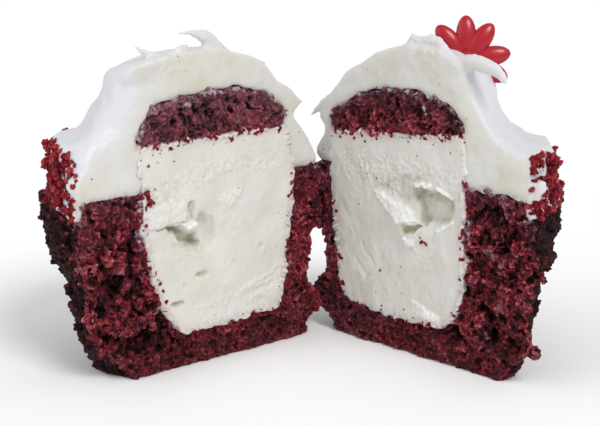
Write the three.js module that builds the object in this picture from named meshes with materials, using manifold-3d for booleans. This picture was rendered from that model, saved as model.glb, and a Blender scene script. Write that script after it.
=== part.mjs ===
// A red velvet cupcake with a cream core, cut upright in two and opened like a book.
// Each half is built in its own frame: x runs along the cut face, y runs away from it into
// the cake, z is up. The hinge edge, where the halves almost meet, is the far end of the cut.
import * as THREE from 'three';
import { mergeVertices } from 'three/addons/utils/BufferGeometryUtils.js';
import { ImprovedNoise } from 'three/addons/math/ImprovedNoise.js';
import Module from 'manifold-3d';

const wasm = await Module();
wasm.setup();
const noise = new ImprovedNoise();

// ---- driving dimensions, in millimetres and degrees ----
const gap = 0.3; // between neighbouring solids
const cutterFront = 6; // how far a cutting solid reaches past the cut face
const frostedFrom = 37.5; // the cake's side is plain above this height, under the frosting
const fillingStep = { arcs: 16, chords: 14, rows: 11 };
const lidStep = { arcs: 16, chords: 12, rows: 4 };
const cupStep = { arcs: 28, chords: 24, rows: 16 };
const frostingStep = { arcs: 26, chords: 6, rows: 15 };

// Profiles run from the lowest to the highest level as [radius, height, bulge]: the radius is
// met at the cut face, and the bulge is what it gains on the way round the back.
const leftHalf = {
  side: 1,
  position: [-21.7, -22.0],
  turn: 39,
  seed: 3,
  cup: {
    centre: 0,
    near: [[25.2, 0, 1], [26.6, 3.2, 1], [27.8, 6.9, 0.8], [30, 10.6, 0], [31, 14, -0.4],
      [31.4, 21.5, 0.2], [32.3, 25.7, 1.2], [33, 34, 2.4], [32.8, 43, 3]],
    hinge: [[29.6, 0, 2], [32.1, 5.1, 2], [33.4, 9.2, 2], [31.2, 12.5, 2.5], [29.7, 15.9, 3.5],
      [31.6, 23.7, 3.5], [32.2, 28, 3.5], [32.6, 36, 4], [32.9, 43, 4]],
    crevice: { from: [-28, 10], to: [-4, 4], width: 1.6, depth: 2.6 },
    corner: { depth: 4.5, width: 16, at: 0, height: 5 },
  },
  filling: {
    centre: 4.5,
    near: [[9.9, 8.6, 0], [12.6, 10.3, 0], [16.1, 16, 0], [17.3, 20, 0], [19, 26, 0], [19.9, 32, 0],
      [20.8, 35.6, 0], [19.8, 41, 0], [21.5, 47, 0], [20.8, 52.7, 0]],
    hinge: [[15.4, 9.4, 0], [17.2, 11.6, 0], [17.9, 16, 0], [18.2, 20.5, 0], [19, 25.5, 0],
      [19.4, 30.6, 0], [20.3, 35.4, 0], [21, 42.4, 0], [19.8, 48, 0], [18.3, 52.7, 0]],
    hollow: { at: [-4, 30.5], reach: [7, 4.2], depth: 2.4 },
    chunk: { at: [-4.5, 36.6], reach: [5, 2.2], depth: -0.9 },
  },
  lid: {
    centre: 3,
    near: [[20.3, 53.1, 0], [20.8, 55, 0], [18.8, 57.4, 0], [17, 60, 0], [14.5, 61.9, 0],
      [9.2, 62.8, 0]],
    hinge: [[19.6, 53.1, 0], [21.2, 55, 0], [20.2, 57.6, 0], [17.9, 59.6, 0], [14, 61.8, 0],
      [7, 63.6, 0]],
  },
  frosting: {
    centre: 0,
    near: [[34, 38.6, 3.2], [35.1, 42.9, 2.2], [36, 47, 1.2], [35.8, 50.6, 0.4], [36.4, 52.9, -1],
      [34.6, 54.2, -1], [30.5, 55.3, 0.4], [25.5, 57.8, 1.6], [21.5, 61.8, 2], [20, 66, 2.4],
      [19.2, 70.2, 1.5], [16.8, 72.8, 0], [12, 73.8, 0], [6, 74.8, 0]],
    hinge: [[33.7, 42.4, 4.6], [33.5, 44.6, 4.4], [32.6, 46.6, 4.4], [31.3, 48.9, 4.2],
      [29.6, 51.2, 3.8], [27.6, 53.6, 3.4], [26.2, 55.6, 3], [27.8, 58, 2.4], [24.8, 61.4, 2],
      [20.5, 63.8, 2], [17.8, 66.6, 1.5], [14.5, 69, 1], [9.5, 71.4, 0], [4, 74, 0]],
  },
  // Hooks and tips drawn up by the knife: a path of points, with a width at each end.
  strokes: [
    { path: [[4.6, 3.4, 70.4], [3, 3, 74], [0.4, 2.6, 75.6], [-2.6, 2.3, 76], [-4.8, 2.2, 75.8]],
      from: 3.2, to: 0.6 },
    { path: [[-11.5, 3.4, 70.5], [-14.4, 3.4, 72.6], [-16, 3.4, 74]], from: 3, to: 0.8 },
    { path: [[22, 2.5, 60], [26, 2.2, 59], [29.2, 2, 57.7]], from: 2.2, to: 0.8 },
  ],
  crumbs: { count: 17, from: 98, to: 175, low: 0.05, high: 0.28 },
};

const rightHalf = {
  side: -1,
  position: [27.8, -18.9],
  turn: -44,
  seed: 8,
  cup: {
    centre: 0,
    near: [[24.4, 0, 0], [25.6, 3.5, -1], [27, 6.8, -2], [28, 9.4, -2.4], [29.3, 16.4, -2],
      [30.4, 25.4, -0.8], [30.4, 33.2, 0.2], [29.4, 38.1, 1.2], [28.6, 43, 1.8]],
    hinge: [[27.8, 0, 2], [29.9, 3.8, 2], [31.4, 7.5, 2.5], [32.2, 11.7, 3], [29.9, 17.5, 3.5],
      [31.1, 25.5, 3.5], [31.3, 33, 4], [31.6, 38.5, 4.2], [31.8, 43, 4.4]],
    crevice: { from: [-27, 9], to: [-9, 7], width: 1.4, depth: 2 },
    corner: { depth: -4.4, width: 11, at: 9, height: 4 },
  },
  filling: {
    centre: 6.5,
    near: [[11.6, 8.6, 0], [16, 11.6, 0], [18.1, 16.4, 0], [18.9, 22.6, 0], [18.3, 27.2, 0],
      [17.9, 31.8, 0], [18.4, 36.6, 0], [17.9, 40.2, 0], [18.5, 46, 0], [17.9, 53.7, 0]],
    hinge: [[13.5, 9.4, 0], [16.8, 11.4, 0], [17.7, 15, 0], [18.1, 18.5, 0], [18.5, 23, 0], [20, 29.1, 0],
      [20.7, 33.3, 0], [21, 37, 0], [21.2, 42, 0], [21.4, 50.1, 0]],
    hollow: { at: [-3.6, 36.2], reach: [6.2, 3.8], depth: 2.6 },
    chunk: { at: [4, 30.2], reach: [4.5, 2], depth: -0.8 },
  },
  lid: {
    centre: 8.8,
    near: [[19.7, 54.1, 0], [20.1, 56.4, 0], [18.1, 59.1, 0], [15.2, 60.8, 0], [11.5, 62.1, 0],
      [6.5, 62.7, 0]],
    hinge: [[18.7, 50.5, 0], [20, 52.4, 0], [18.7, 54.8, 0], [15.7, 57.6, 0], [10.2, 60.4, 0],
      [5.2, 62, 0]],
  },
  frosting: {
    centre: 0,
    near: [[30.4, 38.4, 2], [31, 42, 1], [31.7, 46, -0.8], [32.2, 49.2, -3.2], [31.8, 51, -4.4],
      [29.6, 52.2, -4.4], [26.8, 53.4, -3.2], [23, 54.8, -1.6], [19.6, 57.6, -0.6], [16.3, 61.2, 0.8],
      [13.4, 65.2, 3.4], [11.4, 68.6, 4.2], [9.2, 71.6, 4], [5, 74, 1]],
    hinge: [[32.6, 42.4, 4.6], [33.6, 44.4, 4.4], [33.2, 46.6, 4], [31.6, 48.8, 3.6], [30.6, 51, 3],
      [32.4, 53, 2], [32.4, 54.8, 1.4], [30.8, 57, 1], [28.4, 59.2, 1], [24.8, 62.4, 1],
      [22.6, 65, 1], [18.8, 67, 1], [13.6, 70.2, 0], [5, 73, 0]],
  },
  strokes: [
    { path: [[4, 3, 71], [1.2, 2.8, 73.6], [-1.4, 2.6, 74.4], [-3.4, 2.6, 73.6]], from: 3, to: 1.4 },
    { path: [[-2, 3, 71], [-7, 3, 70.6], [-12, 3, 70.7], [-16, 3, 70.4], [-18.4, 3, 69], [-19.5, 3, 66.4]],
      from: 2.2, to: 0.8 },
  ],
  crumbs: { count: 13, from: 100, to: 172, low: 0.05, high: 0.24 },
};

// The candy flower stands in the frosting of the right half, just behind the cut.
const flower = {
  petals: 9,
  reach: 10.4, // centre to petal tip
  petalWidth: 4.5,
  petalDepth: 2.6,
  hub: 2.6,
  at: [6.3, 7.6, 70.6],
  facing: 44, // turned about z, from square to the cut face
  tilt: -14, // leaning back
};

// ---- helpers ----
const lerp = THREE.MathUtils.lerp;
const radians = THREE.MathUtils.degToRad;

function seededDraw(seed) {
  let state = seed;
  return () => {
    state = (state * 1664525 + 1013904223) % 4294967296;
    return state / 4294967296;
  };
}

function roughness(x, y, z, grain, seed) {
  const coarse = noise.noise(x / grain + seed, y / grain + 0.37, z / grain + 0.71);
  const fine = noise.noise(x / grain * 2.3, y / grain * 2.3 + seed, z / grain * 2.3 + 0.19);
  return coarse + fine * 0.6;
}

// A closed mesh of points and triangles, as a solid that can be joined and cut.
function solidFrom(positions, triangles, side) {
  const vertProperties = new Float32Array(positions);
  const triVerts = new Uint32Array(triangles);
  if (side < 0) {
    for (let i = 0; i < triVerts.length; i += 3) {
      [triVerts[i + 1], triVerts[i + 2]] = [triVerts[i + 2], triVerts[i + 1]];
    }
  }
  return new wasm.Manifold(new wasm.Mesh({ numProp: 3, vertProperties, triVerts }));
}

function solidOf(geometry) {
  const bare = geometry.clone();
  bare.deleteAttribute('normal');
  bare.deleteAttribute('uv');
  const merged = mergeVertices(bare, 1e-4);
  return solidFrom(merged.attributes.position.array, merged.index.array, 1);
}

function geometryOf(solid) {
  const mesh = solid.getMesh();
  const geometry = new THREE.BufferGeometry();
  geometry.setAttribute('position', new THREE.BufferAttribute(mesh.vertProperties, 3));
  geometry.setIndex(new THREE.BufferAttribute(mesh.triVerts, 1));
  return geometry;
}

function curveOf(profile) {
  return new THREE.CatmullRomCurve3(profile.map((point) => new THREE.Vector3(...point)), false, 'centripetal');
}

// Radius and height of a body's skin at a level (0 bottom, 1 top) and an angle (0 hinge, 180 near).
function skinAt(body, level, angle) {
  body.curves ??= { near: curveOf(body.near), hinge: curveOf(body.hinge) };
  const near = body.curves.near.getPoint(level);
  const hinge = body.curves.hinge.getPoint(level);
  const share = (1 - Math.cos(angle)) / 2;
  const bulge = lerp(hinge.z, near.z, share) * Math.sin(angle) ** 0.6;
  return { radius: lerp(hinge.x, near.x, share) + bulge, height: lerp(hinge.y, near.y, share) };
}

// A half body: rings of an arc round the back and a chord along the cut face, stacked and capped.
// A cutter is the same body grown by the gap, plain, and drawn out past the cut face.
function halfBody(half, body, step, { cutter = false, sideRelief, faceRelief } = {}) {
  const positions = [];
  const triangles = [];
  const grow = cutter ? gap : 0;
  const ringSize = step.arcs + 1 + (cutter ? step.chords + 1 : step.chords - 1);
  const addPoint = (x, y, z) => positions.push(half.side * (body.centre + x), y, z);
  for (let row = 0; row <= step.rows; row += 1) {
    const level = row / step.rows;
    const lift = cutter ? lerp(-gap, gap, level) : 0;
    const ends = [];
    for (let arc = 0; arc <= step.arcs; arc += 1) {
      const angle = Math.PI * (arc / step.arcs);
      const skin = skinAt(body, level, angle);
      const onEdge = arc === 0 || arc === step.arcs;
      let radius = skin.radius + grow;
      if (sideRelief) {
        radius += sideRelief(angle, skin.height, radius, level);
      }
      const x = radius * Math.cos(angle);
      const front = onEdge && faceRelief ? faceRelief(x + body.centre, skin.height) : 0;
      addPoint(x, onEdge ? front : radius * Math.sin(angle), skin.height + lift);
      if (onEdge) {
        ends.push([x, skin.height + lift]);
      }
    }
    const [hingeEnd, nearEnd] = ends;
    const firstChord = cutter ? 0 : 1;
    for (let chord = firstChord; chord <= step.chords - firstChord; chord += 1) {
      const share = chord / step.chords;
      const x = lerp(nearEnd[0], hingeEnd[0], share);
      const z = lerp(nearEnd[1], hingeEnd[1], share);
      const y = faceRelief ? faceRelief(x + body.centre, z) : 0;
      addPoint(x, cutter ? -cutterFront : y, z);
    }
  }
  for (let row = 0; row < step.rows; row += 1) {
    for (let i = 0; i < ringSize; i += 1) {
      const a = row * ringSize + i;
      const b = row * ringSize + (i + 1) % ringSize;
      triangles.push(a, b, b + ringSize, a, b + ringSize, a + ringSize);
    }
  }
  for (const row of [0, step.rows]) {
    const first = row * ringSize;
    const middle = new THREE.Vector3();
    for (let i = first; i < first + ringSize; i += 1) {
      middle.add(new THREE.Vector3().fromArray(positions, i * 3).divideScalar(ringSize));
    }
    const centre = positions.length / 3;
    positions.push(middle.x, middle.y, middle.z);
    for (let i = 0; i < ringSize; i += 1) {
      const a = first + i;
      const b = first + (i + 1) % ringSize;
      triangles.push(centre, ...(row ? [a, b] : [b, a]));
    }
  }
  return solidFrom(positions, triangles, half.side);
}

// A dent (or a lump, with a negative depth) on a cut face.
function spot(x, z, { at, reach, depth }) {
  const across = (x - at[0]) / reach[0];
  const up = (z - at[1]) / reach[1];
  return depth * Math.exp(-(across * across + up * up) * 1.6);
}

// A crack along a straight line on a cut face.
function crack(x, z, { from, to, width, depth }) {
  const line = new THREE.Line3(new THREE.Vector3(from[0], from[1], 0), new THREE.Vector3(to[0], to[1], 0));
  const point = new THREE.Vector3(x, z, 0);
  const distance = line.closestPointToPoint(point, true, new THREE.Vector3()).distanceTo(point);
  return depth * Math.exp(-((distance / width) ** 2));
}

// ---- the pieces of one half ----
function makeCup(half) {
  const { seed, side, cup } = half;
  const sideRelief = (angle, height, radius) => {
    const fade = THREE.MathUtils.clamp((frostedFrom - height) / 6, 0, 1);
    const crags = roughness(radius * Math.cos(angle) * side, radius * Math.sin(angle), height, 7, seed) * 2;
    const across = (180 - THREE.MathUtils.radToDeg(angle)) / cup.corner.width;
    const up = (height - cup.corner.at) / cup.corner.height;
    const broken = cup.corner.depth * Math.exp(-across * across - up * up);
    return crags * fade - broken;
  };
  const faceRelief = (x, z) => {
    const crumb = roughness(x, seed, z, 4.5, seed + 5) * 1.1;
    return Math.max(-0.4, crumb + 0.3 + crack(x, z, cup.crevice));
  };
  const outer = halfBody(half, cup, cupStep, { sideRelief, faceRelief });
  return outer.subtract(halfBody(half, half.filling, fillingStep, { cutter: true }));
}

function makeFilling(half) {
  const { seed, filling } = half;
  const faceRelief = (x, z) => {
    const scrape = roughness(x, seed, z, 9, seed + 2) * 0.5;
    return scrape + spot(x, z, filling.hollow) + spot(x, z, filling.chunk);
  };
  return halfBody(half, filling, fillingStep, { faceRelief });
}

function makeLid(half) {
  const { seed, lid } = half;
  const faceRelief = (x, z) => roughness(x, seed, z, 4.5, seed + 9) * 0.8;
  return halfBody(half, lid, lidStep, { faceRelief });
}

// A tapering, bent finger of frosting.
function makeStroke({ path, from, to }, side) {
  const sides = 8;
  const steps = 7;
  const curve = new THREE.CatmullRomCurve3(path.map(([x, y, z]) => new THREE.Vector3(side * x, y, z)));
  const frames = curve.computeFrenetFrames(steps, false);
  const positions = [];
  const triangles = [];
  for (let step = 0; step <= steps; step += 1) {
    const centre = curve.getPointAt(step / steps);
    const radius = lerp(from, to, step / steps);
    for (let i = 0; i < sides; i += 1) {
      const angle = 2 * Math.PI * i / sides;
      const point = centre.clone()
        .addScaledVector(frames.normals[step], radius * Math.cos(angle))
        .addScaledVector(frames.binormals[step], radius * Math.sin(angle));
      positions.push(...point);
    }
  }
  for (let step = 0; step < steps; step += 1) {
    for (let i = 0; i < sides; i += 1) {
      const a = step * sides + i;
      const b = step * sides + (i + 1) % sides;
      triangles.push(a, b, b + sides, a, b + sides, a + sides);
    }
  }
  for (let i = 1; i < sides - 1; i += 1) {
    const last = steps * sides;
    triangles.push(0, i + 1, i, last, last + i, last + i + 1);
  }
  return solidFrom(positions, triangles, 1);
}

// One crumb of cake: a lopsided twenty-sided lump.
function makeCrumb(radius, centre, draw) {
  const geometry = new THREE.IcosahedronGeometry(radius, 0);
  const stretch = new THREE.Vector3(0.8 + draw() * 0.5, 0.8 + draw() * 0.5, 0.8 + draw() * 0.5);
  const turn = new THREE.Euler(draw() * Math.PI, draw() * Math.PI, draw() * Math.PI);
  const place = new THREE.Matrix4().compose(centre, new THREE.Quaternion().setFromEuler(turn), stretch);
  geometry.applyMatrix4(place);
  return solidOf(geometry);
}

function rimCrumbs(half) {
  const { count, from, to, low, high } = half.crumbs;
  const draw = seededDraw(half.seed * 97);
  const crumbs = [];
  for (let i = 0; i < count; i += 1) {
    const angle = radians(lerp(from, to, (i + 0.15 + draw() * 0.7) / count));
    const level = lerp(low, high, (i * 0.382 + draw() * 0.2) % 1);
    const skin = skinAt(half.frosting, level, angle);
    const radius = lerp(1.5, 2.5, draw());
    const reach = skin.radius - radius * 0.1;
    const centre = new THREE.Vector3(half.side * reach * Math.cos(angle), reach * Math.sin(angle), skin.height);
    crumbs.push(makeCrumb(radius, centre, draw));
  }
  return crumbs;
}

function makeFrosting(half, otherCutters) {
  const { seed, side, frosting } = half;
  const sideRelief = (angle, height, radius, level) => {
    const fade = Math.sin(Math.PI * Math.min(1, level * 1.1)) * Math.sin(angle) ** 0.5;
    const x = radius * Math.cos(angle) * side;
    return roughness(x, radius * Math.sin(angle) + height * 0.6, height * 0.5, 13, seed + 4) * 2.4 * fade;
  };
  const pieces = [
    ...half.strokes.map((stroke) => makeStroke(stroke, side)),
    ...rimCrumbs(half),
  ];
  let cap = halfBody(half, frosting, frostingStep, { sideRelief });
  for (const piece of pieces) {
    cap = cap.add(piece);
  }
  const cutters = [
    halfBody(half, half.cup, cupStep, { cutter: true }),
    halfBody(half, half.filling, fillingStep, { cutter: true }),
    halfBody(half, half.lid, lidStep, { cutter: true }),
    ...otherCutters,
  ];
  for (const cutter of cutters) {
    cap = cap.subtract(cutter);
  }
  return cap;
}

// ---- the candy flower: puffed, pointed petals round a small hub ----
function makeFlower(grow) {
  const { petals, reach, petalWidth, petalDepth, hub, at, facing, tilt } = flower;
  const place = new THREE.Matrix4().makeTranslation(at[0], at[1], at[2])
    .multiply(new THREE.Matrix4().makeRotationZ(radians(facing)))
    .multiply(new THREE.Matrix4().makeRotationX(radians(tilt)));
  const length = reach + grow;
  let solid = solidOf(new THREE.SphereGeometry(hub + grow, 8, 5).scale(1, 0.7, 1).applyMatrix4(place));
  for (let i = 0; i < petals; i += 1) {
    const petal = new THREE.SphereGeometry(1, 7, 5);
    const points = petal.attributes.position;
    for (let k = 0; k < points.count; k += 1) {
      const along = points.getY(k) * 0.5 + 0.5;
      const narrow = 1 - 0.45 * (along - 0.4) ** 2;
      const width = petalWidth / 2 + grow;
      const depth = petalDepth / 2 + grow;
      points.setXYZ(k, points.getX(k) * width * narrow, points.getZ(k) * depth, lerp(length * 0.08, length, along));
    }
    // Setting x, z, y in that order turned the sphere inside out, so its triangles are turned back.
    const index = petal.index;
    for (let k = 0; k < index.count; k += 3) {
      const second = index.getX(k + 1);
      index.setX(k + 1, index.getX(k + 2));
      index.setX(k + 2, second);
    }
    petal.rotateY(2 * Math.PI * i / petals);
    solid = solid.add(solidOf(petal.applyMatrix4(place)));
  }
  return solid;
}

// ---- materials and assembly ----
const cakeMaterial = new THREE.MeshStandardMaterial({ color: 0x5f2a30, roughness: 0.95, metalness: 0 });
const fillingMaterial = new THREE.MeshStandardMaterial({ color: 0xded9cc, roughness: 0.6, metalness: 0 });
const frostingMaterial = new THREE.MeshStandardMaterial({ color: 0xe6e3de, roughness: 0.5, metalness: 0 });
const candyMaterial = new THREE.MeshStandardMaterial({ color: 0xb62f3d, roughness: 0.25, metalness: 0 });

const cupcake = new THREE.Group();

function addHalf(half, name, extraPieces, cutters) {
  const group = new THREE.Group();
  const addMesh = (part, solid, material) => {
    const mesh = new THREE.Mesh(geometryOf(solid), material.clone());
    mesh.name = part;
    group.add(mesh);
  };
  addMesh(`cake_cup_${name}`, makeCup(half), cakeMaterial);
  addMesh(`filling_${name}`, makeFilling(half), fillingMaterial);
  addMesh(`cake_lid_${name}`, makeLid(half), cakeMaterial);
  addMesh(`frosting_${name}`, makeFrosting(half, cutters), frostingMaterial);
  extraPieces.forEach(([part, solid, material]) => addMesh(part, solid, material));
  group.position.set(half.position[0], half.position[1], 0);
  group.rotation.z = radians(half.turn);
  cupcake.add(group);
}

addHalf(leftHalf, 'left', [], []);
addHalf(rightHalf, 'right', [['flower', makeFlower(0), candyMaterial]], [makeFlower(gap)]);

// The origin is under the middle of the whole, on the surface that it stands on.
cupcake.updateMatrixWorld(true);
const box = new THREE.Box3().setFromObject(cupcake, true);
const middle = box.getCenter(new THREE.Vector3());
cupcake.position.set(-middle.x, -middle.y, -box.min.z);

export default cupcake;
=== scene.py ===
import math
import random

import bmesh
import bpy
import numpy as np
from mathutils import Matrix, Vector, noise
from mathutils.bvhtree import BVHTree


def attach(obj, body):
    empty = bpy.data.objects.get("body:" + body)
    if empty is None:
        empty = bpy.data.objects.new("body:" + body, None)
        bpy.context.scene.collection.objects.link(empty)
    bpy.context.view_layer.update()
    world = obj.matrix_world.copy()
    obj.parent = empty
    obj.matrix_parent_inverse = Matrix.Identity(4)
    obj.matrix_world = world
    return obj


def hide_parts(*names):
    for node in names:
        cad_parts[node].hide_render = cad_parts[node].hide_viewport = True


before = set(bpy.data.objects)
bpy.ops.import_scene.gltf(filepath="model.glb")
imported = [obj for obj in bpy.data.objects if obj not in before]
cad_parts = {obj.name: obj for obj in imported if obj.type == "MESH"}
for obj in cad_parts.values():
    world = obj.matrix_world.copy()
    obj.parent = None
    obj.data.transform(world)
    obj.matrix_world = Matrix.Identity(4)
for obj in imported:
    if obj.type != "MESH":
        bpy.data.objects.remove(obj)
for stray in ("Cube", "Camera", "Light"):  # Blender's own start-up objects
    if stray in bpy.data.objects:
        bpy.data.objects.remove(bpy.data.objects[stray])
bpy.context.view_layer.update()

mm = 0.001
noise.seed_set(1)  # Blender's vector noise starts from the clock otherwise

# Each half has a space of its own, in millimetres: s runs along the cut towards the hinge edge,
# n runs back into the cake, z is up. A frosting profile is (radius, height, bulge round the back).
# Strokes and lumps are (s, n, z, radius), an outline on the cut is (s, z), and a spot on the cut is
# (s, z, reach along s, reach along z).
leftHalf = {
    "name": "left",
    "side": 1,
    "place": (-22.23, -8.3),
    "turn": 39,
    "seed": 3,
    "near": [
        (34, 38.6, 3.2), (35, 42.9, 2.6), (35.6, 47, 2.2), (35.8, 50.6, 1.6), (36.4, 53, 0.6),
        (35.4, 54.5, 0.4), (30.8, 55.5, -1.6), (26.4, 57.3, 1), (23.2, 59.8, 3.8), (21.7, 62.6, 3.2),
        (21.2, 65.6, 2.2), (20.8, 68.6, 1.6), (17.8, 71, 0), (12.6, 72.3, -0.4), (6, 73.1, 0),
    ],
    "hinge": [
        (33.7, 42.4, 4.6), (33.5, 44.6, 4.4), (32.6, 46.6, 4.4), (31.3, 48.9, 4.2), (29.6, 51.2, 3.8),
        (27.6, 53.6, 3.4), (26.2, 55.6, 3), (28.6, 58.4, 2.4), (25.6, 61.8, 2), (21.4, 64.4, 2),
        (18.6, 67.8, 1.5), (15.2, 70.2, 1), (10, 72, 0), (4, 73.6, 0),
    ],
    "strokes": [
        [(7.6, 2.6, 70.2, 2.8), (5.1, 2.2, 72.9, 2.2), (3.3, 2, 74.8, 1.9), (1.8, 1.7, 76, 1.5),
         (0, 1.5, 76.5, 1.15), (-1.8, 1.4, 77, 0.75), (-3.6, 1.3, 77.2, 0.6), (-5.3, 1.3, 77.2, 0.4)],
        [(-9, 1.8, 71.8, 1.2), (-6.5, 1.6, 72.8, 1.1), (-4.6, 1.4, 73.8, 0.9), (-3.3, 1.3, 74.3, 0.5)],
        [(-9.5, 2.8, 72, 1.4), (-12.2, 2.8, 73, 1.1), (-14.3, 2.8, 74, 0.8), (-15.6, 2.8, 74.9, 0.45)],
        [(22, 2, 60, 2.2), (26, 1.6, 59.2, 1.5), (29.2, 1.2, 58.2, 0.6)],
        [(13.5, 2, 68.2, 1.4), (16, 1.8, 68.4, 1.1), (18.4, 1.6, 68.2, 0.7)],
        [(-31.8, 2.4, 46.5, 2.4), (-31.9, 1.4, 43, 1.8), (-32.3, 0.9, 38.2, 0.8)],
    ],
    "hollows": [(-12.5, 11, 73, 4, 1.4), (-16, 28, 55, 7, 1)],  # s, n, z, reach, depth
    "ragged": [(-8, 74, 7, 0.3)],  # s, z, reach, share
    "crumbTop": 55.2,  # crumbs stick to the rim up to here
    "softening": (6, 0.9),  # how far back the swirls are dragged flat, and how much
    "rimFrom": 31,
    "rimShare": 1,
    "lidHaze": 0.38,
    "wallHaze": 0,
    "crumbs": [
        (-37.5, 9, 47.8, 1.7), (-37.3, 9, 46.2, 1.5), (-37, 8, 49.5, 1.2), (-37.4, 10, 44.5, 1.3),
        (-15.4, 0.2, 42.6, 1), (-14.8, 0, 41, 0.9), (-15.2, 0.1, 39.8, 0.7), (-15, 0, 49, 0.4),
        (-13.4, 0, 43.4, 0.4), (-34.8, 2.8, 57.2, 0.4), (-29.7, 18.2, 53, 1.2), (-31.2, 17, 52, 0.8),
        (-33.7, 9, 52.3, 1.2), (-34.4, 5.5, 52.6, 0.7), (-31.6, 17, 48.8, 1.2), (-32.9, 11.5, 49.3, 0.7),
        (-33.2, 7.5, 49.6, 0.9), (-34.6, 2.5, 50.1, 1), (-33.9, 1.4, 51.3, 0.5), (-31, 16.8, 46.3, 1),
        (-32.4, 16.6, 45.9, 1), (-32.6, 12.5, 45.2, 0.9), (-33.8, 5.2, 46.7, 1), (-34.2, 7, 45, 1.1),
        (-34.7, 3.5, 44.8, 0.9), (-31.8, 16.4, 43.1, 1.1), (-34, 6, 42.6, 1.3), (-33.3, 10, 40.7, 1),
        (-34.8, 2, 41.2, 0.9), (-32.2, 16.4, 40.6, 1.1), (-32.2, 16, 37.9, 1), (-33.6, 9.5, 39, 1),
        (-34.5, 5.2, 38.9, 0.8), (-34.4, 3, 37, 0.8), (-34.6, 4, 54.2, 0.8), (-33, 12, 54.4, 1),
    ],
    "torn": [],
    "flare": 2.4,
    "touch": [(25, 43, 2.7), (15, 25, 1.4), (4, 12, 2.3)],  # from, to, how far it leans out
    "holeCentre": 4.5,
    "coarse": [(-25, 22, 8, 13), (-15, 11, 13, 6)],
    "lidNotch": None,  # s, width, depth
    "scoops": [  # outline, depth, width of its wall, roughness, olive shade, ice
        ([(-15.7, 38.9), (-10.6, 40.6), (-5.5, 39.8), (-4.8, 35.7), (-6.5, 34.8), (-8.9, 34.5),
          (-10.8, 33.9), (-13.2, 34.1), (-15.6, 34.3), (-16.3, 36.2)], -0.6, 0.7, 0.7, 0, 0.15),
        ([(-11, 33.9), (-8.9, 34.3), (-6.5, 34.3), (-3.4, 32.9), (-0.5, 30.9), (0.1, 28.4), (-1.2, 26.9),
          (-3.8, 27.8), (-6.2, 29.5), (-8.6, 31.9)], 3.8, 1.8, 0.1, 0.9, 0),
        ([(-2.3, 36.9), (-0.1, 36.8), (2.4, 35.2), (3.5, 32.2), (3.4, 29.6), (2.5, 27.1), (0.2, 25.3),
          (-2.8, 25.9), (-5.6, 27.4), (-8, 28.3), (-9.1, 29.9), (-6.9, 30.9), (-4.1, 31.8)],
          1.2, 2.6, 0, 0.12, 0),
        ([(-6.3, 34.6), (-4.6, 35), (-3.2, 34.3), (-1.6, 33.1), (-1.2, 31.4), (-2.2, 30.2), (-3.8, 30.8),
          (-5.5, 31.8), (-6.5, 32.9)], -2.8, 0.5, 1, -0.8, 1),
        ([(-4.7, 39.2), (-3.6, 39.7), (-2, 39.2), (-2.3, 36.9), (-2.9, 34.5), (-4.3, 34.9), (-5.1, 36.9)],
          0.8, 1.4, 0.5, 0.4, 0),
        ([(3.3, 40.1), (5.6, 41.1), (10.2, 40.5), (11.9, 38.8), (10.2, 37.1), (7.3, 35.9), (5, 35.8),
          (3.3, 37.5)], -0.3, 1.6, 0.9, 0, 0.3),
        ([(-4.5, 15.6), (2.6, 16.9), (9.9, 16.7), (16.5, 17.6), (22.9, 19.7), (22.5, 13.9), (16.4, 10.6),
          (9.8, 9.5), (2.5, 9.3), (-2.9, 10)], 0, 1, 0.5, 0, 0.1),
    ],
    "dents": [  # s, z, reach along, reach across, turn, depth
        (-1.3, 21.4, 1.9, 0.8, 0, 0.8), (-8, 15.2, 1.7, 0.45, 0, 0.9), (-6, 19.6, 0.5, 0.5, 0, 0.6),
        (16, 25, 0.7, 0.6, 0, 0.4),
    ],
    "edges": [  # line, width, depth
        ([(-13.4, 33.8), (-10.8, 33.6), (-8.9, 34.2)], 0.4, 0.5),
        ([(-8.3, 28.4), (-6.1, 28), (-4.2, 27.1), (-1.5, 25.8)], 0.5, -0.5),
        ([(11.4, 13.7), (21.7, 15.9)], 0.5, 0.3), ([(10, 15.3), (22.3, 19.4)], 0.5, -0.3),
    ],
    "flaky": [(-16, 44), (-16, 36), (-9, 40.5), (0, 42), (9, 44), (23, 43), (23, 47), (0, 47)],
    "olive": [
        (-4.2, 38.4, 1, 1), (-9.6, 33.5, 2, 0.6), (-2.2, 29.4, 1.8, 1.2), (-1.2, 21.4, 1, 0.5),
        (-8, 15.2, 1.6, 0.5),
    ],
    # film spots: cream smeared on the walls, and painted white glints on the lid's top edge
    "filmAndGlint": [
        (-4.5, 61.4, 3.4, 0.8), (3.8, 63.4, 4.6, 0.9), (-17.2, 39.5, 1.2, 3), (-16.9, 33, 1.2, 4),
        (-15.3, 25, 1, 1.5), (-12, 14.5, 2.4, 1.2), (-33.6, 35.6, 0.9, 1.6),
    ],
}

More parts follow.
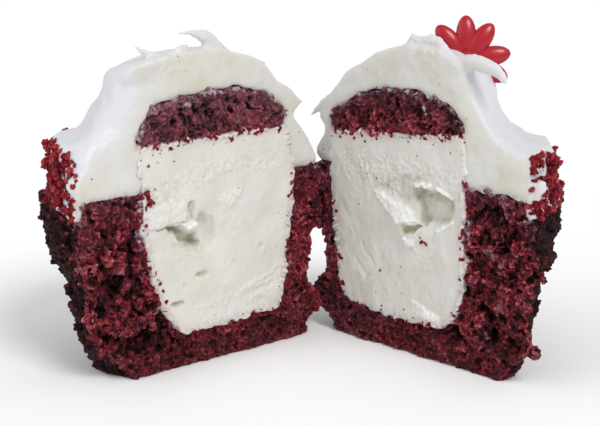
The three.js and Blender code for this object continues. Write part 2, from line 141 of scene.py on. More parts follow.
rightHalf = {
    "name": "right",
    "side": -1,
    "place": (27.27, -5.2),
    "turn": -44,
    "seed": 8,
    "near": [
        (31, 38.4, 2), (31.8, 42, 1), (32.5, 46, -0.4), (32.9, 49.2, -1.6), (32.9, 51.2, -2.4),
        (31.2, 52.9, -3.2), (27, 53.3, -4), (22.6, 54.4, -3.3), (18.9, 57, -2.2), (15.9, 60.8, -0.4),
        (13, 65, 2.6), (11.2, 68.6, 4), (9.2, 71.2, 3.6), (5, 73.2, 1),
    ],
    "hinge": [
        (32.6, 42.4, 4.6), (33.6, 44.4, 4.4), (33.2, 46.6, 4), (31.6, 48.8, 3.6), (30.6, 51, 3),
        (32.4, 53, 2), (32.4, 55, 1.4), (31, 57.6, 1), (28.8, 60, 1), (25.6, 63.2, 1), (23.2, 65.8, 1),
        (19.2, 68.2, 1), (14.2, 71.2, 0), (5, 73.8, 0),
    ],
    "strokes": [
        [(6, 2.4, 71.6, 2), (4.6, 1.9, 74.1, 1.5), (3.4, 1.8, 74.4, 1.4), (1.6, 1.8, 74.2, 1.4),
         (0.4, 1.8, 74.4, 1.4), (-0.8, 1.8, 74.9, 1.4), (-2.2, 1.8, 74.5, 1.5), (-3.8, 1.8, 73.3, 1.5),
         (-5.4, 1.8, 72.2, 1.4), (-7, 1.8, 71.1, 1.3), (-8.4, 1.9, 70.1, 1.3)],
        [(4.6, 1.6, 74.8, 0.9), (4.2, 1.3, 75.7, 0.5)],
        [(-0.4, 1.6, 75.5, 0.9), (-0.8, 1.3, 76.3, 0.45)],
        [(-4.3, 1.5, 73.9, 0.8), (-4.6, 1.3, 74.8, 0.4)],
        [(-6.2, 1.5, 72.5, 0.8), (-6.9, 1.3, 73.2, 0.4)],
        [(-6, 2.6, 69.6, 2.1), (-10.9, 1.9, 70.9, 1.95), (-13.1, 1.7, 71.2, 2.1), (-15.2, 1.6, 70.8, 2.1),
         (-17.1, 1.6, 70.5, 1.85), (-18.8, 1.7, 69.9, 1.5), (-20.1, 1.8, 68.9, 1.2),
         (-21, 1.9, 67.8, 0.85)],
        [(29.6, 2.2, 57.2, 2.2), (32.4, 1.8, 56, 1.5), (34.6, 1.6, 54.4, 1), (36.4, 1.5, 53, 0.5)],
        [(26, 1.9, 61.6, 1.5), (25, 1.6, 63.6, 1), (24.4, 1.4, 65.2, 0.4)],
        [(-31.4, 2, 46, 1.8), (-30, 1.3, 41.6, 1.2), (-28.6, 1, 37, 0.7)],
    ],
    "hollows": [(-8.5, 4, 73.5, 2.4, 1.4), (-12, 26, 54, 8, 1)],
    "ragged": [(0, 76, 7, 0.45)],
    "crumbTop": 51.4,
    "softening": (3.5, 0.35),
    "rimFrom": 27,
    "rimShare": 0.5,
    "lidHaze": 0.05,
    "wallHaze": 0.2,
    "crumbs": [
        (-0.6, 0.1, 29.2, 0.55), (-0.7, 0.1, 28.2, 0.7), (-1.6, 0.1, 27.9, 0.6), (-12.6, 0, 43.9, 0.8),
        (12, -0.1, 18.6, 0.3), (-29.7, 1.5, 51.7, 0.9), (-30.7, 1.5, 51.2, 0.8), (-30.9, 3, 53.2, 0.8),
        (-30.8, 5, 53.1, 0.8), (-31.4, 4, 50.5, 1), (-29.8, 1.2, 49.1, 0.9), (-30.6, 1.2, 47.5, 0.8),
        (-32, 2.5, 48.8, 1.1), (-32.3, 4, 47.3, 1.1), (-29.8, 1, 45.6, 0.6), (-32, 2, 44.3, 0.9),
        (-30.9, 1.2, 42.7, 0.9), (-29.5, 1, 41.8, 0.8), (-31.7, 1.8, 42.9, 1), (-32.2, 3, 42.1, 1),
        (-29.1, 1, 40.1, 0.7), (-33.1, 3, 40.1, 1.2), (-32.4, 6, 39.8, 1.2), (-31.3, 9, 50.8, 1.9),
        (-31.7, 10, 46.2, 1.4), (-30.6, 11, 44, 1.8), (-31.1, 8, 48.7, 1.3), (-31, 9, 42.4, 1),
        (-31.9, 6, 44.7, 0.8), (-29, 12, 49.4, 1.4),
    ],
    "torn": [
        (-31.2, 1.8, 8.6, 2), (-32.8, 1.5, 8, 1.4), (-33.8, 1.3, 7.6, 0.8), (-30.6, 3.4, 29, 1.8),
        (-31.8, 2.8, 27, 1.5), (-32.8, 2.4, 25.2, 1.2), (-33.1, 2, 23.8, 0.8),
    ],
    "flare": 1.0,
    "touch": [(25, 43, 2.7), (4, 14, 2.5)],
    "holeCentre": 6.5,
    "coarse": [(-22, 26, 9, 16), (-17, 12, 13, 6)],
    "lidNotch": (-0.9, 1.1, 1.5),
    "scoops": [
        ([(15.1, 39.2), (11.4, 41.3), (6.6, 43.5), (1.2, 44.4), (-0.9, 42.8), (2.9, 40.8), (3.1, 38.3),
          (2.8, 36.7), (6.4, 36.8), (11.1, 38)], 0.5, 1.2, 1, 0.12, 0),
        ([(15.5, 38.7), (12.6, 38.4), (9.5, 37.5), (6.4, 36.8), (3.4, 36.6), (1.8, 34.3), (0.6, 32.1),
          (3, 31.9), (5.3, 30.5), (7.5, 31.3), (9.7, 33.6), (12.6, 35.8)], -0.9, 0.9, 0.4, 0, 0.6),
        ([(3.2, 40.7), (1.1, 41.5), (-1.8, 41.3), (-4.8, 41.3), (-7.9, 40.9), (-9.4, 39.6), (-9.8, 37.3),
          (-9, 35), (-7, 33.7), (-4.7, 32.6), (-2.7, 32.7), (-0.9, 31.4), (0.6, 32.1), (1.2, 34.4),
          (2.2, 36.6), (3.1, 38.3)], 2.8, 1.5, 1, 0.9, 0.25),
        ([(5.3, 29.3), (5.1, 30.8), (3, 31.9), (0.3, 31.9), (-1, 31.2), (0.8, 30.4), (2.6, 29.3),
          (4.1, 28.8)], 1.8, 0.8, 0.3, 0.7, 0),
        ([(5.3, 29), (3.2, 28.7), (0.5, 28.7), (1.3, 26.6), (4, 26.1)], -0.6, 0.6, 0.2, 0, 0.6),
        ([(3.2, 41.8), (-0.5, 42.5), (-3.8, 42.3), (-3.6, 41.2), (1, 40.9)], -0.6, 0.4, 1, -0.6, 1),
        ([(-4.6, 42), (-8, 41.5), (-9.8, 39.9), (-9.2, 39), (-7.4, 40.3), (-4.6, 41)],
          -0.6, 0.4, 1, -0.6, 1),
        ([(-6.8, 11.4), (-1.6, 12.8), (3, 14.4), (2, 10.6), (-3, 8.6), (-6.4, 7.6)],
          -0.2, 1.2, 1, 0, 0.8),
        ([(-3.6, 31.7), (-5.6, 33.2), (-9, 34.6), (-9.6, 34), (-7.4, 31.9), (-4.5, 31.1)],
          -0.5, 0.4, 1, 0, 1),
    ],
    "dents": [
        (-4, 37, 2.2, 0.8, 20, -0.8), (-6.4, 35.4, 1.6, 0.6, -20, -0.7), (-2, 34.6, 1.8, 0.6, 40, -0.6),
    ],
    "edges": [
        ([(-1.2, 30.6), (-0.2, 28.6), (1, 26)], 0.5, -0.3), ([(18, 24), (14, 20)], 0.5, 0.25),
        ([(20, 20), (16, 17)], 0.5, 0.25),
    ],
    "flaky": [(24, 47), (24, 40), (12, 39), (4, 40.5), (-3, 43), (-11, 42), (-11, 47), (4, 47)],
    "olive": [(2, 39.9, 0.9, 1), (-8.9, 38, 1.1, 2.2), (-6.2, 40.2, 2, 0.9), (3.4, 30.3, 1.4, 0.8)],
    # film spots: cream smeared on the walls, and a painted white glint on the lid's top edge
    "filmAndGlint": [
        (-18.9, 28.7, 1.8, 1.1), (-13.3, 26.2, 0.9, 1.2), (-13.6, 33.3, 1, 3.6), (-21.7, 16.5, 1.3, 0.9),
        (-0.9, 59.5, 0.8, 2.6), (-13, 21, 0.8, 1.2),
    ],
}
halves = (leftHalf, rightHalf)

for half in halves:
    turn = Matrix.Rotation(math.radians(half["turn"]), 4, "Z")
    place = Matrix.Translation((half["place"][0] * mm, half["place"][1] * mm, 0))
    half["matrix"] = place @ turn @ Matrix.Diagonal((mm * half["side"], mm, mm, 1))
    half["inverse"] = half["matrix"].inverted()


# Adds a node and gives back one of its outputs. Its sockets, by name, number or order, take plain
# values or links; its settings are given by name.
def addNode(tree, kind, sockets=(), out=0, **settings):
    node = tree.nodes.new(kind)
    for key, value in settings.items():
        setattr(node, key, value)
    for key, value in sockets.items() if isinstance(sockets, dict) else enumerate(sockets):
        if isinstance(value, bpy.types.NodeSocket):
            tree.links.new(value, node.inputs[key])
        else:
            node.inputs[key].default_value = value
    return node.outputs[out] if node.outputs else None


def toHalf(half, points):
    m = np.array(half["inverse"])
    return points @ m[:3, :3].T + m[:3, 3]


def turnToHalf(half, directions):
    return directions @ np.array(half["matrix"])[:3, :3] / mm


def readPoints(mesh):
    points = np.empty(len(mesh.vertices) * 3)
    mesh.vertices.foreach_get("co", points)
    return points.reshape(-1, 3)


def readNormals(mesh):
    normals = np.empty(len(mesh.vertices) * 3)
    mesh.vertices.foreach_get("normal", normals)
    return normals.reshape(-1, 3)


def writePoints(mesh, points):
    mesh.vertices.foreach_set("co", points.astype(np.float32).ravel())
    mesh.update()


def writeHalf(half, mesh, points):
    m = np.array(half["matrix"])
    writePoints(mesh, points @ m[:3, :3].T + m[:3, 3])


def readHalf(half, piece):  # a piece's mesh, and its points and normals in its half's space
    mesh = piece.data
    return mesh, toHalf(half, readPoints(mesh)), turnToHalf(half, readNormals(mesh))


def writeMarks(mesh, **marks):  # a number for each vertex, kept under a name for trees and materials
    for name, values in marks.items():
        attribute = mesh.attributes.new(name, "FLOAT", "POINT")
        attribute.data.foreach_set("value", values.astype(np.float32))


def newPiece(name, bm):
    mesh = bpy.data.meshes.new(name)
    bm.to_mesh(mesh)
    bm.free()
    piece = bpy.data.objects.new(name, mesh)
    bpy.context.scene.collection.objects.link(piece)
    return piece


def copyNode(node, name):
    bm = bmesh.new()
    bm.from_mesh(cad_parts[node].data)
    bmesh.ops.remove_doubles(bm, verts=bm.verts, dist=0.002 * mm)
    return newPiece(name, bm)


def addLumps(half, piece, lumps, seed):  # each lump is a cluster of smaller balls
    draw = random.Random(seed)
    bm = bmesh.new()
    bm.from_mesh(piece.data)
    for s, n, z, radius in lumps:
        for _ in range(5):
            spot = Vector((s, n, z)) + Vector([draw.uniform(-0.6, 0.6) * radius for _ in range(3)])
            size = Matrix.Diagonal([draw.uniform(0.4, 0.75) * radius * mm for _ in range(3)] + [1])
            bmesh.ops.create_icosphere(bm, subdivisions=2, radius=1,
                                       matrix=Matrix.Translation(half["matrix"] @ spot) @ size)
    bm.to_mesh(piece.data)
    bm.free()


def bake(piece):  # leaves the piece as a plain mesh with its modifiers' work in it
    bpy.context.view_layer.update()
    graph = bpy.context.evaluated_depsgraph_get()
    mesh = bpy.data.meshes.new_from_object(piece.evaluated_get(graph), depsgraph=graph)
    piece.modifiers.clear()
    old = piece.data
    piece.data = mesh
    bpy.data.meshes.remove(old)


def remesh(piece, voxel):
    step = piece.modifiers.new("voxels", "REMESH")
    step.mode = "VOXEL"
    step.voxel_size = voxel * mm
    step.use_smooth_shade = True
    bake(piece)


def smooth(piece, rounds):
    step = piece.modifiers.new("smooth", "SMOOTH")
    step.iterations = rounds
    bake(piece)


def triangles(piece):
    return sum(len(polygon.vertices) - 2 for polygon in piece.data.polygons)


def thin(piece, hidden, target):  # only the hidden vertices are given up
    count = triangles(piece)
    if count <= target:
        return
    group = piece.vertex_groups.new(name="hidden")
    group.add([int(index) for index in np.flatnonzero(hidden)], 1.0, "REPLACE")
    step = piece.modifiers.new("thin", "DECIMATE")
    step.ratio = target / count
    step.vertex_group = "hidden"
    bake(piece)
    piece.vertex_groups.clear()


def averaged(mesh, points, rounds):
    edges = np.empty(len(mesh.edges) * 2, int)
    mesh.edges.foreach_get("vertices", edges)
    a, b = edges.reshape(-1, 2).T
    count = np.bincount(edges, minlength=len(points))[:, None]
    for _ in range(rounds):
        total = np.stack([
            np.bincount(a, points[b, axis], len(points)) + np.bincount(b, points[a, axis], len(points))
            for axis in range(3)
        ], 1)
        points = total / np.maximum(count, 1)
    return points


# This mark drives painted shade in the pores and painted highlight on the crests of the crumb.
def markCrests(piece, scales):  # 1 on the crests of the crumb, 0 in its pores
    mesh = piece.data
    points = readPoints(mesh)
    normals = readNormals(mesh)
    crest = np.full(len(points), 0.5)
    for rounds, reach, share in scales:
        height = ((points - averaged(mesh, points, rounds)) * normals).sum(1) / (reach * mm)
        crest += np.clip(height, -1, 1) * 0.5 * share
    writeMarks(mesh, crest=np.clip(crest, 0, 1))


def markHollows(piece, rounds, reach):
    mesh = piece.data
    points = readPoints(mesh)
    depth = ((averaged(mesh, points, rounds) - points) * readNormals(mesh)).sum(1) / (reach * mm)
    writeMarks(mesh, hollow=np.clip(depth, 0, 1))


def nearness(half, mesh, mask, reach, *kinds):  # 1 beside the half's nodes, fading over the reach
    bm = bmesh.new()
    for kind in kinds:
        bm.from_mesh(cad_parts[kind + "_" + half["name"]].data)
    tree = BVHTree.FromBMesh(bm)
    bm.free()
    world = readPoints(mesh)
    values = np.zeros(len(world))
    for index in np.flatnonzero(mask):
        distance = tree.find_nearest(world[index], reach * 3 * mm)[3]
        if distance is not None:
            values[index] = math.exp(-(distance / (reach * mm)) ** 2)
    return values


def ramp(x, start, end):  # 0 at the start, 1 at the end, whichever is higher
    return np.clip((x - start) / (end - start), 0, 1)


def eased(x, start=0, end=1):
    x = ramp(x, start, end)
    return x * x * (3 - 2 * x)


def toLine(points, start, end):
    runS, runZ = end[0] - start[0], end[1] - start[1]
    awayS, awayZ = points[:, 0] - start[0], points[:, 2] - start[1]
    along = np.clip((awayS * runS + awayZ * runZ) / (runS ** 2 + runZ ** 2), 0, 1)
    return np.hypot(awayS - along * runS, awayZ - along * runZ)


def insetOf(points, outline):  # distance in from a closed outline, negative outside it
    s, z = points[:, 0], points[:, 2]
    inside = np.zeros(len(points), bool)
    nearest = np.full(len(points), 1e9)
    for start, end in zip(outline, outline[1:] + outline[:1]):
        crossing = (start[1] > z) != (end[1] > z)
        rise = end[1] - start[1] or 1e-9
        inside ^= crossing & (s < (end[0] - start[0]) * (z - start[1]) / rise + start[0])
        nearest = np.minimum(nearest, toLine(points, start, end))
    return np.where(inside, nearest, -nearest)


def spotShare(points, spots):
    share = np.zeros(len(points))
    for s, z, reachS, reachZ in spots:
        away = ((points[:, 0] - s) / reachS) ** 2 + ((points[:, 2] - z) / reachZ) ** 2
        share = np.maximum(share, np.exp(-away ** 1.5))
    return share


def wobbled(points, mask, size, amount, seed):
    moved = points.copy()
    shift = Vector((seed * 7.31, seed * 3.17, 0))
    for index in np.flatnonzero(mask):
        s, _, z = points[index]
        turn = noise.turbulence_vector(Vector((s / size, z / size, 0)) + shift, 3, False)
        moved[index, 0] += turn.x * amount
        moved[index, 2] += turn.y * amount
    return moved


def finishPiece(piece, material, node=None):
    world = readPoints(piece.data)
    world[:, 2] = np.maximum(world[:, 2], 0)
    writePoints(piece.data, world)
    piece.data.materials.clear()
    piece.data.materials.append(material)
    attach(piece, "root")
    if node:
        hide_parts(node)
    print(piece.name, triangles(piece), "triangles")


# Node trees that shape a mesh: each is run once on a piece and then baked.
def makeTree(name):
    tree = bpy.data.node_groups.new(name, "GeometryNodeTree")
    tree.interface.new_socket("Geometry", in_out="INPUT", socket_type="NodeSocketGeometry")
    tree.interface.new_socket("Geometry", in_out="OUTPUT", socket_type="NodeSocketGeometry")
    return tree, addNode(tree, "NodeGroupInput")


def runTree(piece, tree, *parts):  # the parts are joined, in this order
    whole = addNode(tree, "GeometryNodeJoinGeometry")
    for part in parts:
        tree.links.new(part, whole.node.inputs[0])
    addNode(tree, "NodeGroupOutput", {"Geometry": whole})
    step = piece.modifiers.new("nodes", "NODES")
    step.node_group = tree
    bake(piece)
    bpy.data.node_groups.remove(tree)


def masked(tree, field, mask):  # keeps a field to where the piece's mask is up
    share = addNode(tree, "GeometryNodeInputNamedAttribute", {"Name": mask}, data_type="FLOAT")
    return addNode(tree, "ShaderNodeMath", [field, share], operation="MULTIPLY")


def fourthPlace(seed):  # where a noise is cut, so that each seed has its own pattern
    return seed * 3.7


# Noise about its middle value as a push in metres. Size and reach are in millimetres.
def pushField(tree, seed, size, reach, step=0, detail=0, rough=0.5, middle=0.5, lift=0, folded=False):
    field = addNode(tree, "ShaderNodeTexNoise", {
        "W": fourthPlace(seed + step), "Scale": 1 / (size * mm), "Detail": detail, "Roughness": rough,
    }, out="Fac", noise_dimensions="4D")
    field = addNode(tree, "ShaderNodeMath", [field, middle], operation="SUBTRACT")
    if folded:
        field = addNode(tree, "ShaderNodeMath", [field], operation="ABSOLUTE")
    field = addNode(tree, "ShaderNodeMath", [field, reach * mm], operation="MULTIPLY")
    return addNode(tree, "ShaderNodeMath", [field, lift * mm], operation="ADD") if lift else field


def patchField(tree, seed, size, low, high):  # soft patches: 0 below the low value, 1 above the high
    field = addNode(tree, "ShaderNodeTexNoise", {
        "W": fourthPlace(seed), "Scale": 1 / (size * mm), "Detail": 1, "Roughness": 0.5,
    }, out="Fac", noise_dimensions="4D")
    return addNode(tree, "ShaderNodeMapRange", [field, low, high, 0, 1])


def cellField(tree, seed, size):  # distance to the nearest cell's middle, swirled so none is round
    swirl = addNode(tree, "ShaderNodeTexNoise", {
        "W": fourthPlace(seed), "Scale": 1 / (size * 0.6 * mm), "Detail": 2,
    }, out="Color", noise_dimensions="4D")
    swirl = addNode(tree, "ShaderNodeVectorMath", [swirl, (0.5, 0.5, 0.5)], operation="SUBTRACT")
    swirl = addNode(tree, "ShaderNodeVectorMath", {0: swirl, "Scale": size * 1.2 * mm}, operation="SCALE")
    place = addNode(tree, "GeometryNodeInputPosition")
    place = addNode(tree, "ShaderNodeVectorMath", [place, swirl], operation="ADD")
    return addNode(tree, "ShaderNodeTexVoronoi", {
        "Vector": place, "W": fourthPlace(seed), "Scale": 1 / (size * mm),
    }, out="Distance", voronoi_dimensions="4D")


def summed(tree, fields):
    total = fields[0]
    for field in fields[1:]:
        total = addNode(tree, "ShaderNodeMath", [total, field], operation="ADD")
    return total


def pushOut(tree, geometry, fields):  # moves a surface along its normals by the sum of the fields
    reach = summed(tree, fields)
    normal = addNode(tree, "GeometryNodeInputNormal")
    along = addNode(tree, "ShaderNodeVectorMath", {0: normal, "Scale": reach}, operation="SCALE")
    return addNode(tree, "GeometryNodeSetPosition", {"Geometry": geometry, "Offset": along})


def roughen(piece, seed, relief):  # the relief's layers of noise, listed by the mask they lie under
    tree, body = makeTree("relief")
    fields = []
    for mask, layers in relief.items():
        field = summed(tree, [pushField(tree, seed, **layer) for layer in layers])
        fields.append(masked(tree, field, mask) if mask else field)
    runTree(piece, tree, pushOut(tree, body, fields))


# Sets chunks on a surface, as plain mesh: so many to a square millimetre, their size in millimetres.
def scatter(tree, geometry, shapes, mask, perArea, size, sink, seed, patches=1.0):
    density = masked(tree, perArea / mm ** 2, mask)
    density = addNode(tree, "ShaderNodeMath", [density, patches], operation="MULTIPLY")
    points = addNode(tree, "GeometryNodeDistributePointsOnFaces",
                     {"Mesh": geometry, "Density": density, "Seed": seed})
    down = addNode(tree, "ShaderNodeVectorMath",
                   {0: points.node.outputs["Normal"], "Scale": -sink * mm}, operation="SCALE")
    sunk = addNode(tree, "GeometryNodeSetPosition", {"Geometry": points, "Offset": down})
    angles = addNode(tree, "FunctionNodeRandomValue",
                     {0: (0, 0, 0), 1: (6.3, 6.3, 6.3), "Seed": seed + 1}, data_type="FLOAT_VECTOR")
    turned = addNode(tree, "FunctionNodeEulerToRotation", [angles])
    reach = addNode(tree, "FunctionNodeRandomValue",
                    {2: size[0], 3: size[1], "Seed": seed + 2}, out=1, data_type="FLOAT")
    stretch = addNode(tree, "FunctionNodeRandomValue",
                      {0: (0.7, 0.7, 0.7), 1: (1.25, 1.25, 1.25), "Seed": seed + 3}, data_type="FLOAT_VECTOR")
    scale = addNode(tree, "ShaderNodeVectorMath", {0: stretch, "Scale": reach}, operation="SCALE")
    kinds = addNode(tree, "GeometryNodeJoinGeometry")
    for shape in shapes:
        kind = addNode(tree, "GeometryNodeObjectInfo", {"Object": shape, "As Instance": True}, out="Geometry")
        tree.links.new(kind, kinds.node.inputs[0])
    placed = addNode(tree, "GeometryNodeInstanceOnPoints", {
        "Points": sunk, "Instance": kinds, "Pick Instance": True, "Rotation": turned, "Scale": scale,
    })
    return addNode(tree, "GeometryNodeRealizeInstances", [placed])


# Chunks a millimetre in radius that the crumb is built from, set aside till the end.
def makeChunk(seed, lumps, spread):
    draw = random.Random(seed)
    bm = bmesh.new()
    for _ in range(lumps):
        place = Matrix.Translation([draw.uniform(-spread, spread) for _ in range(3)])
        stretch = Matrix.Diagonal([draw.uniform(0.8, 1.25) * (1 - spread) for _ in range(3)] + [1])
        bmesh.ops.create_icosphere(bm, subdivisions=1, radius=1, matrix=place @ stretch)
    bmesh.ops.scale(bm, vec=(mm, mm, mm), verts=bm.verts)
    return newPiece("chunk", bm)


grains = [makeChunk(1, 1, 0), makeChunk(2, 2, 0.4)]
chunks = [makeChunk(seed, 5, 0.5) for seed in range(3, 8)]


# Materials. Each is mixed in the piece's own space, from sizes in millimetres.
def toLinear(code):
    parts = [int(code[i:i + 2], 16) / 255 for i in (1, 3, 5)]
    return [c / 12.92 if c < 0.04045 else ((c + 0.055) / 1.055) ** 2.4 for c in parts] + [1]


def newMaterial(name):
    material = bpy.data.materials.new(name)
    material.use_nodes = True
    material.node_tree.nodes.clear()
    return material


def shaded(material, sockets):  # gives a material its shader, from numbers, colours and links
    shader = addNode(material.node_tree, "ShaderNodeBsdfPrincipled", sockets)
    addNode(material.node_tree, "ShaderNodeOutputMaterial", {"Surface": shader})
    return material


# Noise with grains of one size, stretched so that low to high gives least to most.
def grainField(tree, place, size, detail, low=0, high=1, least=0, most=1):
    field = addNode(tree, "ShaderNodeTexNoise", {
        "Vector": place, "Scale": 1 / (size * mm), "Detail": detail, "Roughness": 0.6,
    }, out="Fac")
    return addNode(tree, "ShaderNodeMapRange", [field, low, high, least, most])


# Grains of the crumb: size, detail, where the noise starts and is full, what it gives at each.
spongeGrains = {
    "coarse": (1.3, 2, 0.3, 0.7, 0, 0.16),
    "fine": (0.5, 2, 0.3, 0.7, 0, 1),
    "broad": (6, 1, 0, 1, -0.25, 0.25),
    "dusk": (4.5, 1, 0.46, 0.62, 0, 0.6),
    "filmAndGlint": (1.5, 3, 0, 1, 0, 1),
}


# Moist open crumb: wine red walls, with painted near-black shade in the pores and painted warm
# highlight on the crests; plum near the cream; darker on the crust, its own colour deepened by painted
# shade on the outer sides; painted shade towards the bottom; thin milky film where cream was dragged
# across, and painted white glints on the lids' top edges.
def makeSponge(name, look):
    material = newMaterial(name)
    tree = material.node_tree
    place = addNode(tree, "ShaderNodeTexCoord", out="Object")
    marks = {}
    for mark in ("crest", "crown", "crust", "haze", "smear"):
        marks[mark] = addNode(tree, "ShaderNodeAttribute", out="Fac", attribute_name=mark)
    grain = {kind: grainField(tree, place, *row) for kind, row in spongeGrains.items()}

    # painted shade and highlight: the crest mark darkens the pores and lightens the crests
    crumb = addNode(tree, "ShaderNodeMath", [marks["crest"], 0.66], operation="MULTIPLY")
    level = addNode(tree, "ShaderNodeMath", [grain["fine"], 0.22, crumb], operation="MULTIPLY_ADD")
    for part in (grain["coarse"], grain["broad"]):
        level = addNode(tree, "ShaderNodeMath", [level, part], operation="ADD")
    layers = {}
    for layer in ("inside", "dusky", "crust"):
        layers[layer] = addNode(tree, "ShaderNodeValToRGB", {"Fac": level}, out="Color")
        stops = layers[layer].node.color_ramp.elements
        while len(stops) < len(look[layer]):
            stops.new(0.5)
        for stop, (position, code) in zip(stops, look[layer]):
            stop.position = position
            stop.color = toLinear(code)

    crown = addNode(tree, "ShaderNodeMath", [marks["crown"], 0.85], operation="MULTIPLY")
    dusk = addNode(tree, "ShaderNodeMath", [grain["dusk"], crown], operation="MAXIMUM")
    lit = addNode(tree, "ShaderNodeMapRange", [level, 0.2, 0.8, 0, 1])
    haze = addNode(tree, "ShaderNodeMath", [marks["haze"], lit], operation="MULTIPLY")
    # painted shade: the crumb darkens towards the bottom, where less light reaches
    height = addNode(tree, "ShaderNodeSeparateXYZ", [place], out="Z")
    low = addNode(tree, "ShaderNodeMapRange", [height, 16 * mm, 2 * mm, 0, 0.4])
    # pale film from cream smears, and painted white glints on the lids' top edges
    filmAndGlint = addNode(tree, "ShaderNodeMath", [marks["smear"], 0.25, grain["filmAndGlint"]], operation="MULTIPLY_ADD")
    filmAndGlint = addNode(tree, "ShaderNodeMapRange", [filmAndGlint, 0.66, 0.8, 0, 1])
    filmAndGlint = addNode(tree, "ShaderNodeMath", [marks["smear"], filmAndGlint], operation="MULTIPLY")
    colour = layers["inside"]
    for share, layer in (
        (dusk, layers["dusky"]), (marks["crust"], layers["crust"]), (haze, toLinear("#a8707e")),
        (low, toLinear("#2a070c")), (filmAndGlint, toLinear("#cdbfc9")),
    ):
        colour = addNode(tree, "ShaderNodeMix", {0: share, 6: colour, 7: layer}, out=2, data_type="RGBA")
    return shaded(material, {
        "Base Color": colour,
        "Roughness": addNode(tree, "ShaderNodeMapRange", [grain["fine"], 0.2, 0.9, 0.8, 0.42]),
        "Normal": addNode(tree, "ShaderNodeBump",
                          {"Height": grain["fine"], "Strength": 1.0, "Distance": 0.3 * mm}),
        "Specular IOR Level": 0.18,
        "Subsurface Weight": 0.05,
        "Subsurface Radius": (1.0, 0.25, 0.25),
        "Subsurface Scale": 0.5 * mm,
    })


# Layers of colour over the cream: the piece's mark, how strong, and the grain that breaks it up, as
# size, detail, where the noise starts and is full.
creamLayers = {
    "light": (None, 1, (9, 2, 0.3, 0.7)),
    "skin": ("skin", 1, None),
    "shade": ("hollow", 0.7, None),
    "olive": ("olive", 1, (1.4, 3, 0.2, 0.62)),
    "icy": ("icy", 1, (0.8, 3, 0.25, 0.55)),
    "stain": ("stain", 1, (0.9, 3, 0.4, 0.75)),
}


# Soft dairy white: warm on the cut, cooler on the spread skin, olive where light sinks in a hollow.
def makeCream(name, look):
    material = newMaterial(name)
    tree = material.node_tree
    place = addNode(tree, "ShaderNodeTexCoord", out="Object")
    colour = toLinear(look["dark"])
    for layer, (mark, share, grain) in creamLayers.items():
        if grain:
            share = grainField(tree, place, *grain, most=share)
        if mark:
            marked = addNode(tree, "ShaderNodeAttribute", out="Fac", attribute_name=mark)
            share = addNode(tree, "ShaderNodeMath", [marked, share], operation="MULTIPLY")
        sockets = {0: share, 6: colour, 7: toLinear(look[layer])}
        colour = addNode(tree, "ShaderNodeMix", sockets, out=2, data_type="RGBA")
    ice = grainField(tree, place, look["grain"], 4)
    return shaded(material, {
        "Base Color": colour,
        "Roughness": look["roughness"],
        "Normal": addNode(tree, "ShaderNodeBump",
                          {"Height": ice, "Strength": 0.6, "Distance": look["grainDepth"] * mm}),
        "Subsurface Weight": look["glow"],
        "Subsurface Radius": (1.0, 0.85, 0.6),
        "Subsurface Scale": 1.5 * mm,
    })


# In both crumb looks the ramps run from painted shade in the pores to painted highlight on the crests; the
# crust ramp is the crust's colour, also darkened as painted shade on the outer sides.
sponge = makeSponge("redVelvetSponge", {
    "inside": [(0.22, "#080103"), (0.38, "#2e0a11"), (0.52, "#631823"), (0.66, "#922c37"), (0.88, "#c8747a")],
    "dusky": [(0.22, "#100508"), (0.42, "#29121a"), (0.58, "#48212d"), (0.72, "#663843"), (0.9, "#95707b")],
    "crust": [(0.2, "#050101"), (0.5, "#19060a"), (0.72, "#3b1116"), (0.9, "#722a2a")],
})
looseCrumb = makeSponge("redVelvetCrumbs", {
    "inside": [(0.15, "#220307"), (0.42, "#5c0b15"), (0.66, "#8e1825"), (0.9, "#b84249")],
    "dusky": [(0.15, "#1c0306"), (0.42, "#4a0d15"), (0.66, "#731923"), (0.9, "#9d3e45")],
    "crust": [(0.2, "#210408"), (0.55, "#560f18"), (0.9, "#831c28")],
})
frostingCream = makeCream("creamCheeseFrosting", {
    "dark": "#cdc9ba", "light": "#d6d5d3", "skin": "#d4d5d9", "shade": "#c9c5b6", "olive": "#cfcba6",
    "icy": "#f2f1ef", "stain": "#a98b93", "roughness": 0.42, "grain": 1.6, "grainDepth": 0.07, "glow": 0.35,
})
iceCream = makeCream("vanillaIceCream", {
    "dark": "#d3d0c6", "light": "#dad9d4", "skin": "#dad9d4", "shade": "#b8b6a4", "olive": "#9a9c72",
    "icy": "#f2f1ef", "stain": "#c4a3b4", "roughness": 0.5, "grain": 0.7, "grainDepth": 0.12, "glow": 0.3,
})
# Hard moulded sugar: deep clear red with small sharp glints.
candy = shaded(newMaterial("mouldedSugarCandy"), {
    "Base Color": toLinear("#a80e22"),
    "Roughness": 0.3,
    "Specular IOR Level": 0.35,
    "Coat Weight": 0.2,
    "Coat Roughness": 0.12,
    "Subsurface Weight": 0.08,
    "Subsurface Radius": (1.0, 0.2, 0.2),
    "Subsurface Scale": 1 * mm,
})
# Ground vanilla pod: dull, near-black dots.
vanillaSeed = shaded(newMaterial("vanillaSeed"), {"Base Color": toLinear("#2a1f18"), "Roughness": 0.5})
print("materials made")


